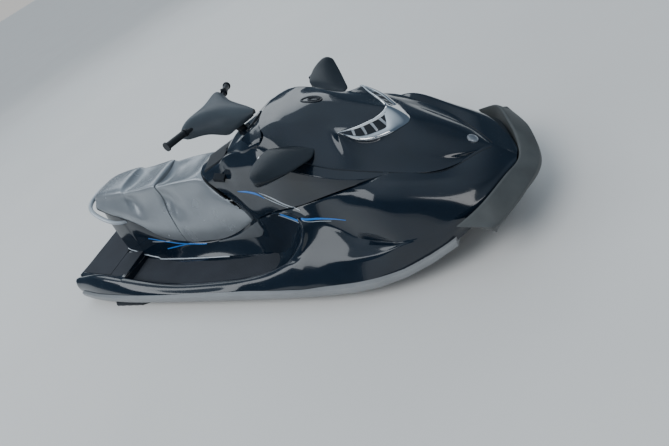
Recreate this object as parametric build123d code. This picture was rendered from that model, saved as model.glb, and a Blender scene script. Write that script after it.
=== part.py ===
from build123d import *
import os
from math import cos, radians, sin

os.makedirs("parts", exist_ok=True)

# Millimetres. +X to the bow, +Y to port, +Z up, origin amidships on the water plane.
# Stations are measured ahead of the stern, heights above the keel line, half-breadths from the centreline.
LENGTH = 3220.0
DRAFT = 220.0
SEAT_FIT = 0.3          # gap between a piece and what it rests on
SWING_FIT = 0.6         # gap under the rim of a lid

# Steering
STEER_REST = 10.0       # the bar stands turned this far to port
COLUMN_TILT = 40.0      # the column leans back from the vertical
COLUMN_STATION = 1700.0
COLUMN_HEIGHT = 1130.0
COLUMN_R = 24.0
BAR_R = 11.0
BAR_HALF = 375.0
BAR_RISE = 40.0
GRIP_LENGTH = 118.0
GRIP_R = 17.0
NOZZLE_RATIO = -0.8     # the nozzle turns the other way round, through the cable

# Jet drive
SHAFT_H = 128.0
DUCT_R = 80.0
PUMP_WALL = 14.0
BLADE_CLEAR = 5.0
BLADES = 3
VANES = 6
HUB_R = 27.0
SHAFT_R = 12.0
BEARING_FIT = 0.05
PUMP_FRONT = 610.0
PUMP_REAR = 330.0
CONE_REAR = 225.0
OUTLET_R = 42.0
NOZZLE_PIVOT = 195.0
NOZZLE_REAR = 62.0
NOZZLE_WALL = 8.0
PIVOT_R = 7.0
TUNNEL_HALF = 165.0
TUNNEL_TOP = 258.0

# Engine
ENGINE_STATION = 1210.0
ENGINE_LENGTH = 540.0
ENGINE_HALF = 148.0
ENGINE_BOTTOM = 105.0
ENGINE_HEIGHT = 330.0
ENGINE_ROOM = 18.0

# Deck
PLATFORM_H = 395.0
FLOOR_H = 336.0
MAT_T = 6.0
DECK_SPLIT = 1600.0
NOSE_SPLIT = 2637.0     # ahead of here the hood meets the deck, aft of it the console
RAIL_OUT = 20.0
RAIL_HALF = 22.0
SKIN = 6.0
TRIM_PROUD = 7.0


class Line:
    """Fair curve along the craft through a table of station, half-breadth and height, with no overshoot."""

    def __init__(self, *table):
        self.stations = [row[0] for row in table]
        self.columns = [[row[i] for row in table] for i in (1, 2)]

    def __call__(self, station):
        return tuple(self.value(column, station) for column in self.columns)

    def value(self, column, station):
        xs = self.stations
        last = len(xs) - 2
        i = next((k for k in range(last + 1) if station <= xs[k + 1]), last)
        width = xs[i + 1] - xs[i]
        t = min(max((station - xs[i]) / width, 0.0), 1.0)
        start, end = self.slope(column, i) * width, self.slope(column, i + 1) * width
        rise = column[i + 1] - column[i]
        return column[i] + start * t + (3 * rise - 2 * start - end) * t**2 + (start + end - 2 * rise) * t**3

    def slope(self, column, i):
        xs = self.stations
        spans = [k for k in (i - 1, i) if 0 <= k < len(xs) - 1]
        steps = [(column[k + 1] - column[k]) / (xs[k + 1] - xs[k]) for k in spans]
        if len(steps) == 1:
            return steps[0]
        return 0.0 if steps[0] * steps[1] <= 0 else 2 * steps[0] * steps[1] / (steps[0] + steps[1])


def at(station, y, height):
    return Vector(station - LENGTH / 2, y, height - DRAFT)


def across(station, half):
    """Closed face across the craft from half-breadth and height pairs, centreline foot to centreline top."""
    starboard = [at(station, -y, h) for y, h in half]
    port = [at(station, y, h) for y, h in reversed(half) if y > 0]
    return make_face(Polyline(*starboard, *port, close=True))


def hull_form(stations, half):
    """Solid through the sections that half(station) gives."""
    return loft([across(station, half(station)) for station in stations], ruled=True)


def spaced(start, end, count):
    return [start + (end - start) * i / count for i in range(count + 1)]


def side_prism(outline, low, high):
    """Outline of station and height pairs, extruded between two half-breadths."""
    face = make_face(Polyline(*[at(s, low, h) for s, h in outline], close=True))
    return extrude(face, amount=high - low, dir=(0, 1, 0))


def plan_prism(outline, low, high):
    """Outline of station and y pairs, extruded between two heights."""
    face = make_face(Polyline(*[at(s, y, low) for s, y in outline], close=True))
    return extrude(face, amount=high - low, dir=(0, 0, 1))


def both_sides(outline):
    """Plan outline whose starboard half is given from bow to stern."""
    return [(s, -y) for s, y in outline] + [(s, y) for s, y in reversed(outline) if y > 0]


def block(stations, ys, heights):
    spans = (stations, ys, heights)
    return Pos(at(*[(a + b) / 2 for a, b in spans])) * Box(*[b - a for a, b in spans])


def rod_x(start, end, radius, height, y=0.0):
    return Pos(at((start + end) / 2, y, height)) * Rot(0, 90, 0) * Cylinder(radius, abs(end - start))


def rod_y(station, height, radius, low, high):
    return Pos(at(station, (low + high) / 2, height)) * Rot(90, 0, 0) * Cylinder(radius, high - low)


def port_of(shape):
    return mirror(shape, about=Plane.XZ)


def write(name, shape):
    solids = shape.solids() if hasattr(shape, "solids") else [shape]
    out = Compound(children=list(solids)) if len(solids) > 1 else solids[0]
    out.label = name
    export_step(out, f"parts/{name}.step")


# Lines of the hull: station, half-breadth, height
KEEL = Line((45, 0, 10), (600, 0, 0), (1300, 0, 0), (2020, 0, 12), (2480, 0, 62), (2850, 0, 180),
            (3110, 0, 385))
PAD = Line((45, 170, 22), (600, 165, 14), (1300, 120, 22), (2020, 80, 38), (2480, 50, 86),
           (2850, 25, 200), (3110, 8, 392))
CHINE = Line((45, 400, 140), (600, 440, 155), (1300, 455, 170), (2020, 425, 190), (2480, 345, 240),
             (2850, 205, 330), (3110, 40, 445))
RAIL = Line((8, 468, 296), (300, 530, 308), (760, 570, 318), (1300, 583, 327), (2020, 588, 334),
            (2350, 574, 342), (2500, 546, 350), (2640, 498, 366), (2750, 452, 394), (2850, 410, 432),
            (3020, 255, 492), (3110, 80, 512))

# Lines of the deck, outside to inside
GUNWALE = Line((8, 428, 388), (300, 468, 420), (760, 522, 374), (1180, 542, 356), (DECK_SPLIT, 540, 368))
COAMING = Line((8, 400, 398), (300, 432, 430), (760, 492, 382), (1180, 516, 362), (DECK_SPLIT, 514, 376))
SHOULDER = Line((DECK_SPLIT, 515, 376), (1850, 512, 430), (2080, 508, 475), (2350, 512, 472),
                (2560, 500, 490),
                (2655, 484, 508), (2740, 440, 508), (2850, 384, 524), (3020, 214, 546), (3110, 62, 545))
VALLEY = Line((DECK_SPLIT, 440, 396), (1850, 440, 470), (2080, 392, 632), (2200, 392, 596), (2340, 416, 558),
              (2440, 432, 524), (2560, 456, 518), (2655, 470, 524), (2740, 404, 566), (2850, 318, 608),
              (3020, 132, 592), (3110, 48, 558))
CREASE = Line((DECK_SPLIT, 262, 545), (1850, 292, 622), (2080, 332, 684), (2350, 352, 758),
              (NOSE_SPLIT, 348, 768), (2740, 310, 736), (2850, 252, 682), (2960, 150, 644), (3020, 84, 614),
              (3110, 20, 564))
SEAM = Line((DECK_SPLIT, 240, 545), (1850, 270, 622), (2080, 310, 684), (2350, 330, 758),
            (NOSE_SPLIT, 290, 778), (2710, 267, 742), (2783, 244, 706), (2850, 196, 670), (2921, 124, 650),
            (3020, 22, 608), (3110, 8, 564))

STATIONS = [45, 170] + spaced(300, DECK_SPLIT, 8) + spaced(DECK_SPLIT, 3110, 12)[1:]


def on_side(low, high, height):
    """Half-breadth at a height on the straight side between two points of a section."""
    return low[0] + (high[0] - low[0]) * (height - low[1]) / (high[1] - low[1])


# Hull with spray strakes, jet tunnel, intake duct and engine room
hull = hull_form(STATIONS, lambda s: [KEEL(s), PAD(s), CHINE(s), RAIL(s), (0, RAIL(s)[1])])
STRAKES = (0.35, 0.72)  # share of the way from pad to chine
STRAKE_W = 36.0
STRAKE_D = 13.0
for share in STRAKES:
    sections = []
    for s in spaced(700, 2500, 6):
        (py, ph), (cy, ch) = PAD(s), CHINE(s)
        y, h = py + share * (cy - py), ph + share * (ch - ph)
        rise = (ch - ph) / (cy - py)
        inner, outer = y - STRAKE_W / 2, y + STRAKE_W / 2
        sections.append(make_face(Polyline(
            at(s, -inner, h - rise * STRAKE_W / 2 + 4), at(s, -outer, h - STRAKE_D),
            at(s, -outer - 2, h + rise * STRAKE_W / 2 + 4), close=True)))
    strake = loft(sections, ruled=True)
    hull = hull + strake + port_of(strake)

tunnel = block((-10, PUMP_FRONT), (-TUNNEL_HALF, TUNNEL_HALF), (-10, TUNNEL_TOP))
DUCT_HALF = 82.0
DUCT_START = 720.0
DUCT_END = 1100.0
duct = side_prism([(PUMP_FRONT - 5, SHAFT_H - 72), (PUMP_FRONT - 5, SHAFT_H + 72), (780, SHAFT_H + 60),
                   (DUCT_END, -10), (DUCT_START, -10)], -DUCT_HALF, DUCT_HALF)
engine_room = block((ENGINE_STATION - ENGINE_ROOM, ENGINE_STATION + ENGINE_LENGTH + ENGINE_ROOM),
                    (-ENGINE_HALF - ENGINE_ROOM, ENGINE_HALF + ENGINE_ROOM),
                    (ENGINE_BOTTOM, ENGINE_BOTTOM + ENGINE_HEIGHT + ENGINE_ROOM))
SHAFT_END = ENGINE_STATION - ENGINE_ROOM
shaft_hole = rod_x(PUMP_FRONT, SHAFT_END, SHAFT_R + BEARING_FIT, SHAFT_H)
hull = hull - tunnel - duct - engine_room - shaft_hole


# Deck: stern part, bow part and pedestal, with wells, platform and stowage cut in
def stern_half(s):
    (ry, rh), top = RAIL(s), COAMING(s)
    foot = rh + SEAT_FIT
    return [(0, foot), (ry, foot), GUNWALE(s), top, (0, top[1])]


def bow_half(s):
    (ry, rh), top = RAIL(s), SEAM(s)
    foot = rh + SEAT_FIT
    return [(0, foot), (ry, foot), SHOULDER(s), VALLEY(s), CREASE(s), top, (0, top[1])]


FOOT = Line((400, 188, 0), (560, 225, 0), (690, 241, 0), (900, 282, 0), (1087, 312, 0), (1300, 328, 0),
            (1450, 322, 0), (DECK_SPLIT, 300, 0), (DECK_SPLIT + 100, 294, 0))
WAIST = Line((400, 140, 738), (560, 160, 698), (654, 168, 672), (782, 182, 537), (1028, 196, 432),
             (1275, 200, 416),
             (DECK_SPLIT, 204, 525))
TOP = Line((400, 85, 776), (520, 105, 766), (680, 118, 716), (1000, 112, 690), (DECK_SPLIT, 115, 700))


def pedestal_half(s, side=0.0, top=0.0):
    foot = RAIL(s)[1] + SEAT_FIT
    (wy, wh), (ty, th) = WAIST(s), TOP(s)
    return [(0, foot), (FOOT(s)[0] + side, foot), (wy + side, wh + top), (ty + side, th + top), (0, th + top)]


DECK_STATIONS = [8] + STATIONS
PEDESTAL_STATIONS = spaced(400, DECK_SPLIT, 12)
stern_deck = hull_form([s for s in DECK_STATIONS if s <= DECK_SPLIT], stern_half)
bow_deck = hull_form([s for s in DECK_STATIONS if s >= DECK_SPLIT], bow_half)
pedestal = hull_form(PEDESTAL_STATIONS, pedestal_half)
WELL_REAR = 560.0
WELL_FRONT = 1990.0
WELL_WALL = 24.0


def footwell(side, inset=0.0, low=FLOOR_H, high=1200.0):
    """Well between pedestal and gunwale with a round front end; inset shrinks it for the mat."""
    wall = WELL_WALL + inset
    rear = WELL_REAR + inset
    outer = [at(s, side * (COAMING(s)[0] - wall), low) for s in (rear, 800, 1100, DECK_SPLIT)]
    inner = [at(s, side * (FOOT(s)[0] - 6 + inset), low) for s in (DECK_SPLIT + 100, 1000, rear)]
    front = at(WELL_FRONT - inset, side * 385, low)
    swell = at(WELL_FRONT - inset - 105, side * (464 - inset), low)
    heel = at(WELL_FRONT - inset - 55, side * (322 + inset), low)
    edge = Polyline(*outer) + ThreePointArc(outer[-1], swell, front) + ThreePointArc(front, heel, inner[0])
    return extrude(make_face(edge + Polyline(*inner, outer[0])), amount=high - low, dir=(0, 0, 1))


PLATFORM_FRONT = 570.0
platform_cut = plan_prism(both_sides([(PLATFORM_FRONT, 446), (-20, 372)]), PLATFORM_H, PLATFORM_H + 400)
STOW_STATIONS = (2150.0, 2700.0)
STOW_HALF = 195.0
STOW_FLOOR = 480.0
stowage = block(STOW_STATIONS, (-STOW_HALF, STOW_HALF), (STOW_FLOOR, 1200))
WELL_BOX = ((660.0, 900.0), (-90.0, 90.0), (560.0, 900.0))
rear_stowage = block(*WELL_BOX)
deck = stern_deck + bow_deck - platform_cut
deck = deck - footwell(1) - footwell(-1) + pedestal
deck = deck - engine_room - stowage - rear_stowage

# Rub rails follow the joint of hull and deck
def rail_section(s, side):
    ry, rh = RAIL(s)
    above = GUNWALE(s) if s <= DECK_SPLIT else SHOULDER(s)
    low, high = rh - RAIL_HALF, rh + RAIL_HALF
    pts = [(on_side(CHINE(s), RAIL(s), low), low), (ry, rh), (on_side(RAIL(s), above, high), high),
           (ry + RAIL_OUT - 3, high - 2), (ry + RAIL_OUT, rh + 8), (ry + RAIL_OUT, rh - 8),
           (ry + RAIL_OUT - 5, low)]
    return make_face(Polyline(*[at(s, side * (y + SEAT_FIT), h) for y, h in pts], close=True))


RAIL_END = [s for s in STATIONS if s < 2890][-1]
rail = {}
for side in (1, -1):
    raw = loft([rail_section(s, side) for s in STATIONS if s <= RAIL_END], ruled=True)
    raw = raw - stern_deck - bow_deck - hull
    rail[side] = max(raw.solids(), key=lambda solid: solid.volume)

# Bow bumper wraps the stem: height, then plan half-outline of station and half-breadth
BUMPER = [
    (430, [(3188, 0), (3180, 80), (3112, 235), (3036, 356), (2960, 402), (2700, 430)]),
    (484, [(3216, 0), (3205, 90), (3150, 245), (3070, 394), (2990, 440), (2700, 480)]),
    (545, [(3186, 0), (3178, 80), (3128, 240), (3058, 388), (2960, 442), (2700, 470)]),
    (606, [(3080, 0), (3074, 100), (3034, 262), (3004, 362), (2930, 424), (2700, 450)]),
]
BUMPER_TOP = [(3240, 478), (3200, 500), (3166, 534), (3130, 548), (3094, 577), (3061, 590), (3013, 602),
              (2950, 582), (2886, 555)]
bumper_full = loft([make_face(Polyline(*[at(s, y, h) for s, y in both_sides(half)], close=True))
                    for h, half in BUMPER], ruled=True)
BUMPER_REAR = [(2600, 300), (3075, 380), (3042, 440), (2886, 553), (2886, 700), (2600, 700)]
rear_cut = side_prism(BUMPER_REAR, -700, 700)
top_cut = side_prism(BUMPER_TOP + [(2700, 553), (2700, 720), (3240, 720)], -700, 700)
bumper = bumper_full - rear_cut - top_cut - deck - hull
bumper = max(bumper.solids(), key=lambda solid: solid.volume)

# Console round the column, from the seat's nose to the bow deck
PEDESTAL_FIT = 3.0
in_seat = hull_form([PEDESTAL_STATIONS[0] - PEDESTAL_FIT] + PEDESTAL_STATIONS[1:],
                    lambda s: pedestal_half(s, PEDESTAL_FIT, SEAT_FIT))
CONSOLE_REAR = 1405.0
CONSOLE_KNEE = Line((CONSOLE_REAR, 140, 645), (DECK_SPLIT, 150, 645))
CONSOLE_SKIRT = Line((CONSOLE_REAR, 172, 645), (DECK_SPLIT, 232, 645))
CONSOLE_WAIST = Line((CONSOLE_REAR, 148, 760), (DECK_SPLIT, 212, 720), (1850, 262, 800), (2000, 288, 850),
                     (2320, 342, 838), (NOSE_SPLIT, 318, 776))
HOOD_SEAM = Line((NOSE_SPLIT, 290, 782), (2710, 267, 747), (2783, 244, 712), (2850, 196, 676),
                 (2921, 124, 657), (2964, 67, 638), (3018, 14, 612))
CONSOLE_EDGE = Line((CONSOLE_REAR, 114, 844), (DECK_SPLIT, 142, 898), (1700, 160, 932), (1850, 205, 972),
                    (1985, 235, 1018), (2320, 312, 900), (NOSE_SPLIT, 290, 782))
CONSOLE_TOP = Line((CONSOLE_REAR, 0, 872), (DECK_SPLIT, 0, 925), (1700, 0, 955), (1850, 0, 985),
                   (1985, 0, 1018), (2320, 0, 900), (NOSE_SPLIT, 0, 782))
CONSOLE_STATIONS = [s for s in STATIONS if DECK_SPLIT <= s < 2620]


def console_half(s):
    (cy, ch), (sy, sh) = CREASE(s), SEAM(s)
    return [(0, sh + SEAT_FIT), (sy, sh + SEAT_FIT), (cy, ch + SEAT_FIT), CONSOLE_WAIST(s), CONSOLE_EDGE(s),
            CONSOLE_TOP(s)]


def console_tail_half(s):
    (ty, th) = TOP(s)
    return [(0, th + SEAT_FIT), (ty + PEDESTAL_FIT, th + SEAT_FIT), CONSOLE_KNEE(s), CONSOLE_SKIRT(s),
            CONSOLE_WAIST(s), CONSOLE_EDGE(s), CONSOLE_TOP(s)]


TAIL_STATIONS = [CONSOLE_REAR, 1510, DECK_SPLIT]
console = hull_form(CONSOLE_STATIONS, console_half) + hull_form(TAIL_STATIONS, console_tail_half)
GLOVE_STATIONS = (1515.0, 1640.0)
GLOVE_HALF = 95.0
GLOVE_FLOOR = 842.0
LID_T = 14.0
glove_box = block(GLOVE_STATIONS, (-GLOVE_HALF, GLOVE_HALF), (GLOVE_FLOOR, 1100))


def raised(half, up):
    """The same section moved up, for lids and skins that lie on it."""
    return lambda s: [(y, h + up) for y, h in half(s)]


SEAT_NOSE = [(1400, 894), (1406, 832), (1475, 756), (1589, 670), (1664, 612), (1656, 545)]
seat_side = [(s + 5, h) for s, h in SEAT_NOSE]
behind_nose = side_prism([(1200, 894)] + seat_side + [(1661, 300), (1200, 300)], -400, 400)
console = console - glove_box - stowage - behind_nose - in_seat
console = max(console.solids(), key=lambda solid: solid.volume)

# Dash behind the hood
DASH_STATIONS = [1780.0, 1850.0, 1910.0, 1972.0, 2040.0]
DASH_EDGE = Line((1780, 70, 985), (1850, 130, 1000), (1972, 214, 1032), (2040, 204, 1018))
DASH_SHOULDER = Line((1780, 50, 1000), (1850, 110, 1030), (1972, 160, 1070), (2040, 156, 1058))
DASH_TOP = Line((1780, 0, 1004), (1850, 0, 1036), (1972, 0, 1084), (2040, 0, 1078))
dash = hull_form(DASH_STATIONS, lambda s: [(0, 900), (DASH_EDGE(s)[0], 900), DASH_EDGE(s), DASH_SHOULDER(s),
                                           DASH_TOP(s)])
dash = dash - hull_form(CONSOLE_STATIONS, raised(console_half, SEAT_FIT))

# Column, bar, grips and cowl: built straight, then turned about the column
COLUMN_DIRECTION = (-sin(radians(COLUMN_TILT)), 0, cos(radians(COLUMN_TILT)))
column_plane = Plane(origin=at(COLUMN_STATION, 0, COLUMN_HEIGHT), x_dir=(0, 1, 0), z_dir=COLUMN_DIRECTION)
COLUMN_DOWN = 260.0
COLUMN_ROOM = 10.0
column = column_plane * Pos(0, 0, -COLUMN_DOWN / 2) * Cylinder(COLUMN_R, COLUMN_DOWN)
column_bore = column_plane * Pos(0, 0, -COLUMN_DOWN / 2 - COLUMN_ROOM / 2) * Cylinder(
    COLUMN_R + BEARING_FIT, COLUMN_DOWN + COLUMN_ROOM)
console = console - column_bore
dash = dash - column_bore
dash = max(dash.solids(), key=lambda solid: solid.volume)


def on_bar(y):
    """Point on the bar's centreline."""
    share = min(abs(y) / (BAR_HALF - GRIP_LENGTH), 1.0)
    back = 60 * share + 40 * max(abs(y) - (BAR_HALF - GRIP_LENGTH), 0) / GRIP_LENGTH
    return at(COLUMN_STATION - back, y, COLUMN_HEIGHT + BAR_RISE * share)


def bar_piece(y_from, y_to, radius):
    start, end = on_bar(y_from), on_bar(y_to)
    run = end - start
    rod = Pos(0, 0, run.length / 2) * Cylinder(radius, run.length)
    return Plane(origin=start, z_dir=run.normalized()) * rod


GRIP_START = BAR_HALF - GRIP_LENGTH
bar = Sphere(BAR_R).moved(Location(on_bar(0)))
for y in (GRIP_START, -GRIP_START):
    bar = bar + bar_piece(0, y, BAR_R) + Sphere(BAR_R).moved(Location(on_bar(y)))
    bar = bar + bar_piece(y, y * BAR_HALF / GRIP_START * 0.985, BAR_R)
clamp = Pos(at(COLUMN_STATION, 0, COLUMN_HEIGHT)) * Box(56, 70, 40)
column = column + clamp - bar_piece(-60, 60, BAR_R) - bar
grips = {}
for side in (1, -1):
    inner = bar_piece(side * GRIP_START, side * BAR_HALF, GRIP_R)
    flange = bar_piece(side * (BAR_HALF - 8), side * BAR_HALF, GRIP_R + 6)
    grips[side] = inner + flange - bar

COWL_LOW = Line((1600, 214, 1128), (1640, 222, 1120), (1690, 158, 1094), (1750, 104, 1042), (1810, 78, 1056),
                (1905, 15, 1078))
COWL_SIDE = Line((1600, 232, 1146), (1640, 240, 1158), (1690, 190, 1136), (1750, 122, 1090), (1810, 84, 1084),
                 (1905, 18, 1084))
COWL_EDGE = Line((1600, 214, 1164), (1640, 204, 1194), (1690, 154, 1184), (1750, 104, 1150), (1810, 72, 1122),
                 (1905, 15, 1090))
COWL_TOP = Line((1600, 0, 1168), (1640, 0, 1198), (1690, 0, 1200), (1750, 0, 1180), (1810, 0, 1152),
                (1905, 0, 1098))
COWL_SKIN = 5.0
COWL_STATIONS = [1600, 1640, 1690, 1750, 1810, 1860, 1905]


def cowl_half(s):
    return [(0, COWL_LOW(s)[1]), COWL_LOW(s), COWL_SIDE(s), COWL_EDGE(s), COWL_TOP(s)]


def cowl_room(s):
    (ly, lh), (sy, sh), (ey, eh), (_, th) = COWL_LOW(s), COWL_SIDE(s), COWL_EDGE(s), COWL_TOP(s)
    return [(0, lh - 40), (ly - COWL_SKIN, lh - 40), (ly - COWL_SKIN, lh), (sy - COWL_SKIN * 1.5, sh),
            (ey - COWL_SKIN, eh - COWL_SKIN * 1.5), (0, th - COWL_SKIN)]


cowl = hull_form(COWL_STATIONS, cowl_half)
cowl_inside = hull_form([COWL_STATIONS[0] - 10] + COWL_STATIONS[1:-1] + [COWL_STATIONS[-1] - 25], cowl_room)
cowl = cowl - cowl_inside
bar_room = Sphere(BAR_R + SEAT_FIT).moved(Location(on_bar(0)))
for y in (GRIP_START, -GRIP_START):
    bar_room = bar_room + bar_piece(0, y, BAR_R + SEAT_FIT)
cowl = cowl - bar_room
cowl = max(cowl.solids(), key=lambda solid: solid.volume)

# Things clamped on the bar beside the grips
CLAMP_W = 12.0
CLAMP_GAP = 5.0
lever_clamp = bar_piece(-GRIP_START + CLAMP_GAP, -GRIP_START + CLAMP_GAP + CLAMP_W, BAR_R + 8)
lever_root = on_bar(-GRIP_START + CLAMP_GAP + CLAMP_W / 2)
LEVER = [(8, 6), (8, -6), (40, -8), (30, -78), (22, -78), (26, -14)]  # from the clamp: ahead, to port
lever_low = lever_root - Vector(0, 0, 4)
lever_face = make_face(Polyline(*[lever_low + Vector(x, y, 0) for x, y in LEVER], close=True))
lever = lever_clamp + extrude(lever_face, amount=8, dir=(0, 0, 1)) - bar
switch_root = on_bar(GRIP_START - CLAMP_GAP - CLAMP_W / 2)
switch_box = bar_piece(GRIP_START - CLAMP_GAP - CLAMP_W, GRIP_START - CLAMP_GAP, BAR_R + 9) + Pos(
    switch_root.X + 6, switch_root.Y, switch_root.Z + 15) * Box(34, CLAMP_W, 20) - bar

STEER_AXIS = Axis(at(COLUMN_STATION, 0, COLUMN_HEIGHT), COLUMN_DIRECTION)


def steered(shape):
    return shape.rotate(STEER_AXIS, STEER_REST)


# Hood over the front stowage, a skin that bears on console and deck all round
HOOD_REAR = 1985.0
HOOD_TIP = 3018.0
HOOD_SHOULDER = Line((1985, 225, 1050), (2100, 236, 1028), (2268, 262, 972), (2358, 266, 934),
                     (2436, 262, 908), (2530, 250, 858), (2640, 190, 824), (2758, 145, 768), (2834, 125, 724),
                     (2907, 100, 686), (2954, 60, 660), (HOOD_TIP, 10, 619))
HOOD_BROW = Line((1985, 200, 1070), (2268, 206, 1012), (2358, 204, 970), (2436, 207, 974), (2523, 196, 912),
                 (2594, 138, 873), (2662, 60, 853), (2690, 5, 846), (2758, 5, 802), (2940, 5, 676),
                 (HOOD_TIP, 5, 620))
HOOD_PLATEAU = Line((1985, 170, 1084), (2172, 167, 1062), (2268, 162, 1035), (2358, 157, 994),
                    (2436, 199, 979), (2484, 157, 959), (2540, 102, 944), (2594, 38, 932), (2620, 3, 926),
                    (2690, 3, 845.5), (2940, 3, 676.3), (HOOD_TIP, 3, 620.3))
HOOD_TOP = Line((1985, 0, 1098), (2268, 0, 1077), (2436, 0, 1006), (2609, 0, 937), (2690, 0, 846),
                (2758, 0, 802), (2850, 0, 740), (2940, 0, 676.5), (HOOD_TIP, 0, 620.5))
HOOD_SWEEP = [(1990, 0), (1997, 70), (2016, 132), (2048, 188), (2062, 214), (2034, 232), (2003, 240)]
HOOD_HINGE = (3020.0, 620.0)
HINGE_R = 5.0
HOOD_SINK = 25.0
HOOD_STATIONS = [HOOD_REAR, 2077, 2172, 2268, 2358, 2436, 2484, 2540, 2594, 2640, 2690, 2758, 2858, 2940]


def hood_edge(s):
    return CONSOLE_EDGE(s) if s < NOSE_SPLIT else HOOD_SEAM(s)


def hood_half(s):
    ey, eh = hood_edge(s)
    return [(0, eh - HOOD_SINK), (ey - 1, eh - HOOD_SINK), (ey - 1, eh + 1), HOOD_SHOULDER(s), HOOD_BROW(s),
            HOOD_PLATEAU(s), HOOD_TOP(s)]


def hood_inner(s):
    ey, eh = hood_edge(s)
    outside = (HOOD_SHOULDER(s), HOOD_BROW(s), HOOD_PLATEAU(s))
    inside = [(max(y - SKIN, y / 2), h - SKIN - 2) for y, h in outside]
    return [(0, eh - 60), (ey - SKIN - 3, eh - 60), (ey - SKIN - 3, eh - 2), *inside,
            (0, HOOD_TOP(s)[1] - SKIN - 2)]


hood_full = hull_form(HOOD_STATIONS + [HOOD_TIP], hood_half)
hood_room = hull_form([HOOD_REAR - SKIN] + HOOD_STATIONS[1:], hood_inner)
under_hood = (hull_form(CONSOLE_STATIONS, lambda s: [(y, h + (SWING_FIT if i > 2 else -HOOD_SINK))
                                                     for i, (y, h) in enumerate(console_half(s))])
              + hull_form([s for s in DECK_STATIONS if s >= DECK_SPLIT], raised(bow_half, SWING_FIT)))
behind_hood = plan_prism(both_sides(HOOD_SWEEP + [(2003, 320), (1900, 320)]), 900, 1300)
hood = hood_full - hood_room - under_hood - behind_hood
hood = max(hood.solids(), key=lambda solid: solid.volume) + rod_y(*HOOD_HINGE, HINGE_R, -9, 9)


def on_hood(outline, thick):
    """Conformal piece lying on the hood within a vertical prism."""
    lid = hull_form(HOOD_STATIONS + [HOOD_TIP], raised(hood_half, thick))
    base = hull_form(HOOD_STATIONS + [HOOD_TIP], raised(hood_half, SEAT_FIT))
    piece = (lid & outline) - base
    return max(piece.solids(), key=lambda solid: solid.volume)


TRIM_OUTER = [(2692, 0), (2662, 62), (2594, 140), (2523, 198), (2436, 210)]
TRIM_INNER = [(2430, 200), (2480, 152), (2536, 98), (2584, 42), (2600, 0)]
WINDOW = [(2642, 44), (2578, 120), (2512, 182), (2466, 196), (2492, 160), (2546, 100), (2596, 38)]
vee = plan_prism([(s, -y) for s, y in TRIM_OUTER + TRIM_INNER[:-1]] + [(TRIM_INNER[-1][0], 0)]
                 + [(s, y) for s, y in reversed(TRIM_OUTER[1:] + TRIM_INNER[:-1])], 700, 1300)
windows = plan_prism(WINDOW, 700, 1300)
windows = windows + port_of(windows)
hood_trim = on_hood(vee - windows, TRIM_PROUD)
GRILLE_T = 3.0
lid = hull_form(HOOD_STATIONS + [HOOD_TIP], raised(hood_half, GRILLE_T))
base = hull_form(HOOD_STATIONS + [HOOD_TIP], raised(hood_half, SEAT_FIT))
grille = (lid & windows) - base - hood_trim
BADGE = (2936.0, 27.0)
LATCH = (2263.0, 55.0, 25.0)
badge = on_hood(Pos(at(BADGE[0], 0, 700)) * Cylinder(BADGE[1], 600), 4)
latch = on_hood(extrude(Plane(origin=at(LATCH[0], 0, 900)) * Ellipse(LATCH[1], LATCH[2]), amount=400), 8)

# Mirrors on the hood's flanks: half-breadth, rear station, front station, top, bottom and front height
MIRROR = [(262, 2146, 2306, 1026, 950, 952), (330, 2088, 2300, 1042, 944, 948),
          (410, 2099.7, 2256, 1050, 952, 970), (490, 2111.5, 2208, 1052, 972, 998),
          (530, 2140, 2176, 1040, 1004, 1018)]


def mirror_section(y, rear, front, top, low, nose):
    mid = rear + 0.45 * (front - rear)
    return make_face(Polyline(at(rear, y, low), at(rear, y, top), at(mid, y, 0.8 * top + 0.2 * nose),
                              at(front, y, nose), at(mid, y, low - 2), close=True))


MIRROR_CLEAR = 7.0
hood_seat = hull_form(HOOD_STATIONS + [HOOD_TIP], raised(hood_half, SEAT_FIT))
console_room = hull_form(CONSOLE_STATIONS, lambda s: [(y and y + MIRROR_CLEAR, h + (MIRROR_CLEAR if i else 0))
                                                      for i, (y, h) in enumerate(console_half(s))])
GLASS_AT = (2097.2, 410.0, 1005.0)
GLASS = (5.0, 116.0, 62.0)
GLASS_TURN = 8.35
mirrors, glasses = {}, {}
for side in (1, -1):
    body = loft([mirror_section(side * y, *row) for y, *row in MIRROR], ruled=True)
    face = Pos(at(GLASS_AT[0], side * GLASS_AT[1], GLASS_AT[2])) * Rot(0, 0, -side * GLASS_TURN)
    pocket = face * Box(GLASS[0] + 6, GLASS[1] + 2 * SEAT_FIT, GLASS[2] + 2 * SEAT_FIT)
    body = body - pocket - hood_seat - console_room
    mirrors[side] = max(body.solids(), key=lambda solid: solid.volume)
    glasses[side] = face * Pos(2.5, 0, 0) * Box(GLASS[0], GLASS[1], GLASS[2])

# Gauge in the dash
GAUGE_AT = (1918.0, 1062.0)
GAUGE = (78.0, 150.0, 8.0)
GAUGE_LEAN = 22.3
gauge_place = Pos(at(GAUGE_AT[0], 0, GAUGE_AT[1])) * Rot(0, -GAUGE_LEAN, 0)
gauge = gauge_place * Box(*GAUGE)
gauge_room = Box(GAUGE[0] + 2 * SEAT_FIT, GAUGE[1] + 2 * SEAT_FIT, GAUGE[2] + 40)
dash = dash - gauge_place * Pos(0, 0, 20 - SEAT_FIT) * gauge_room

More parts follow.
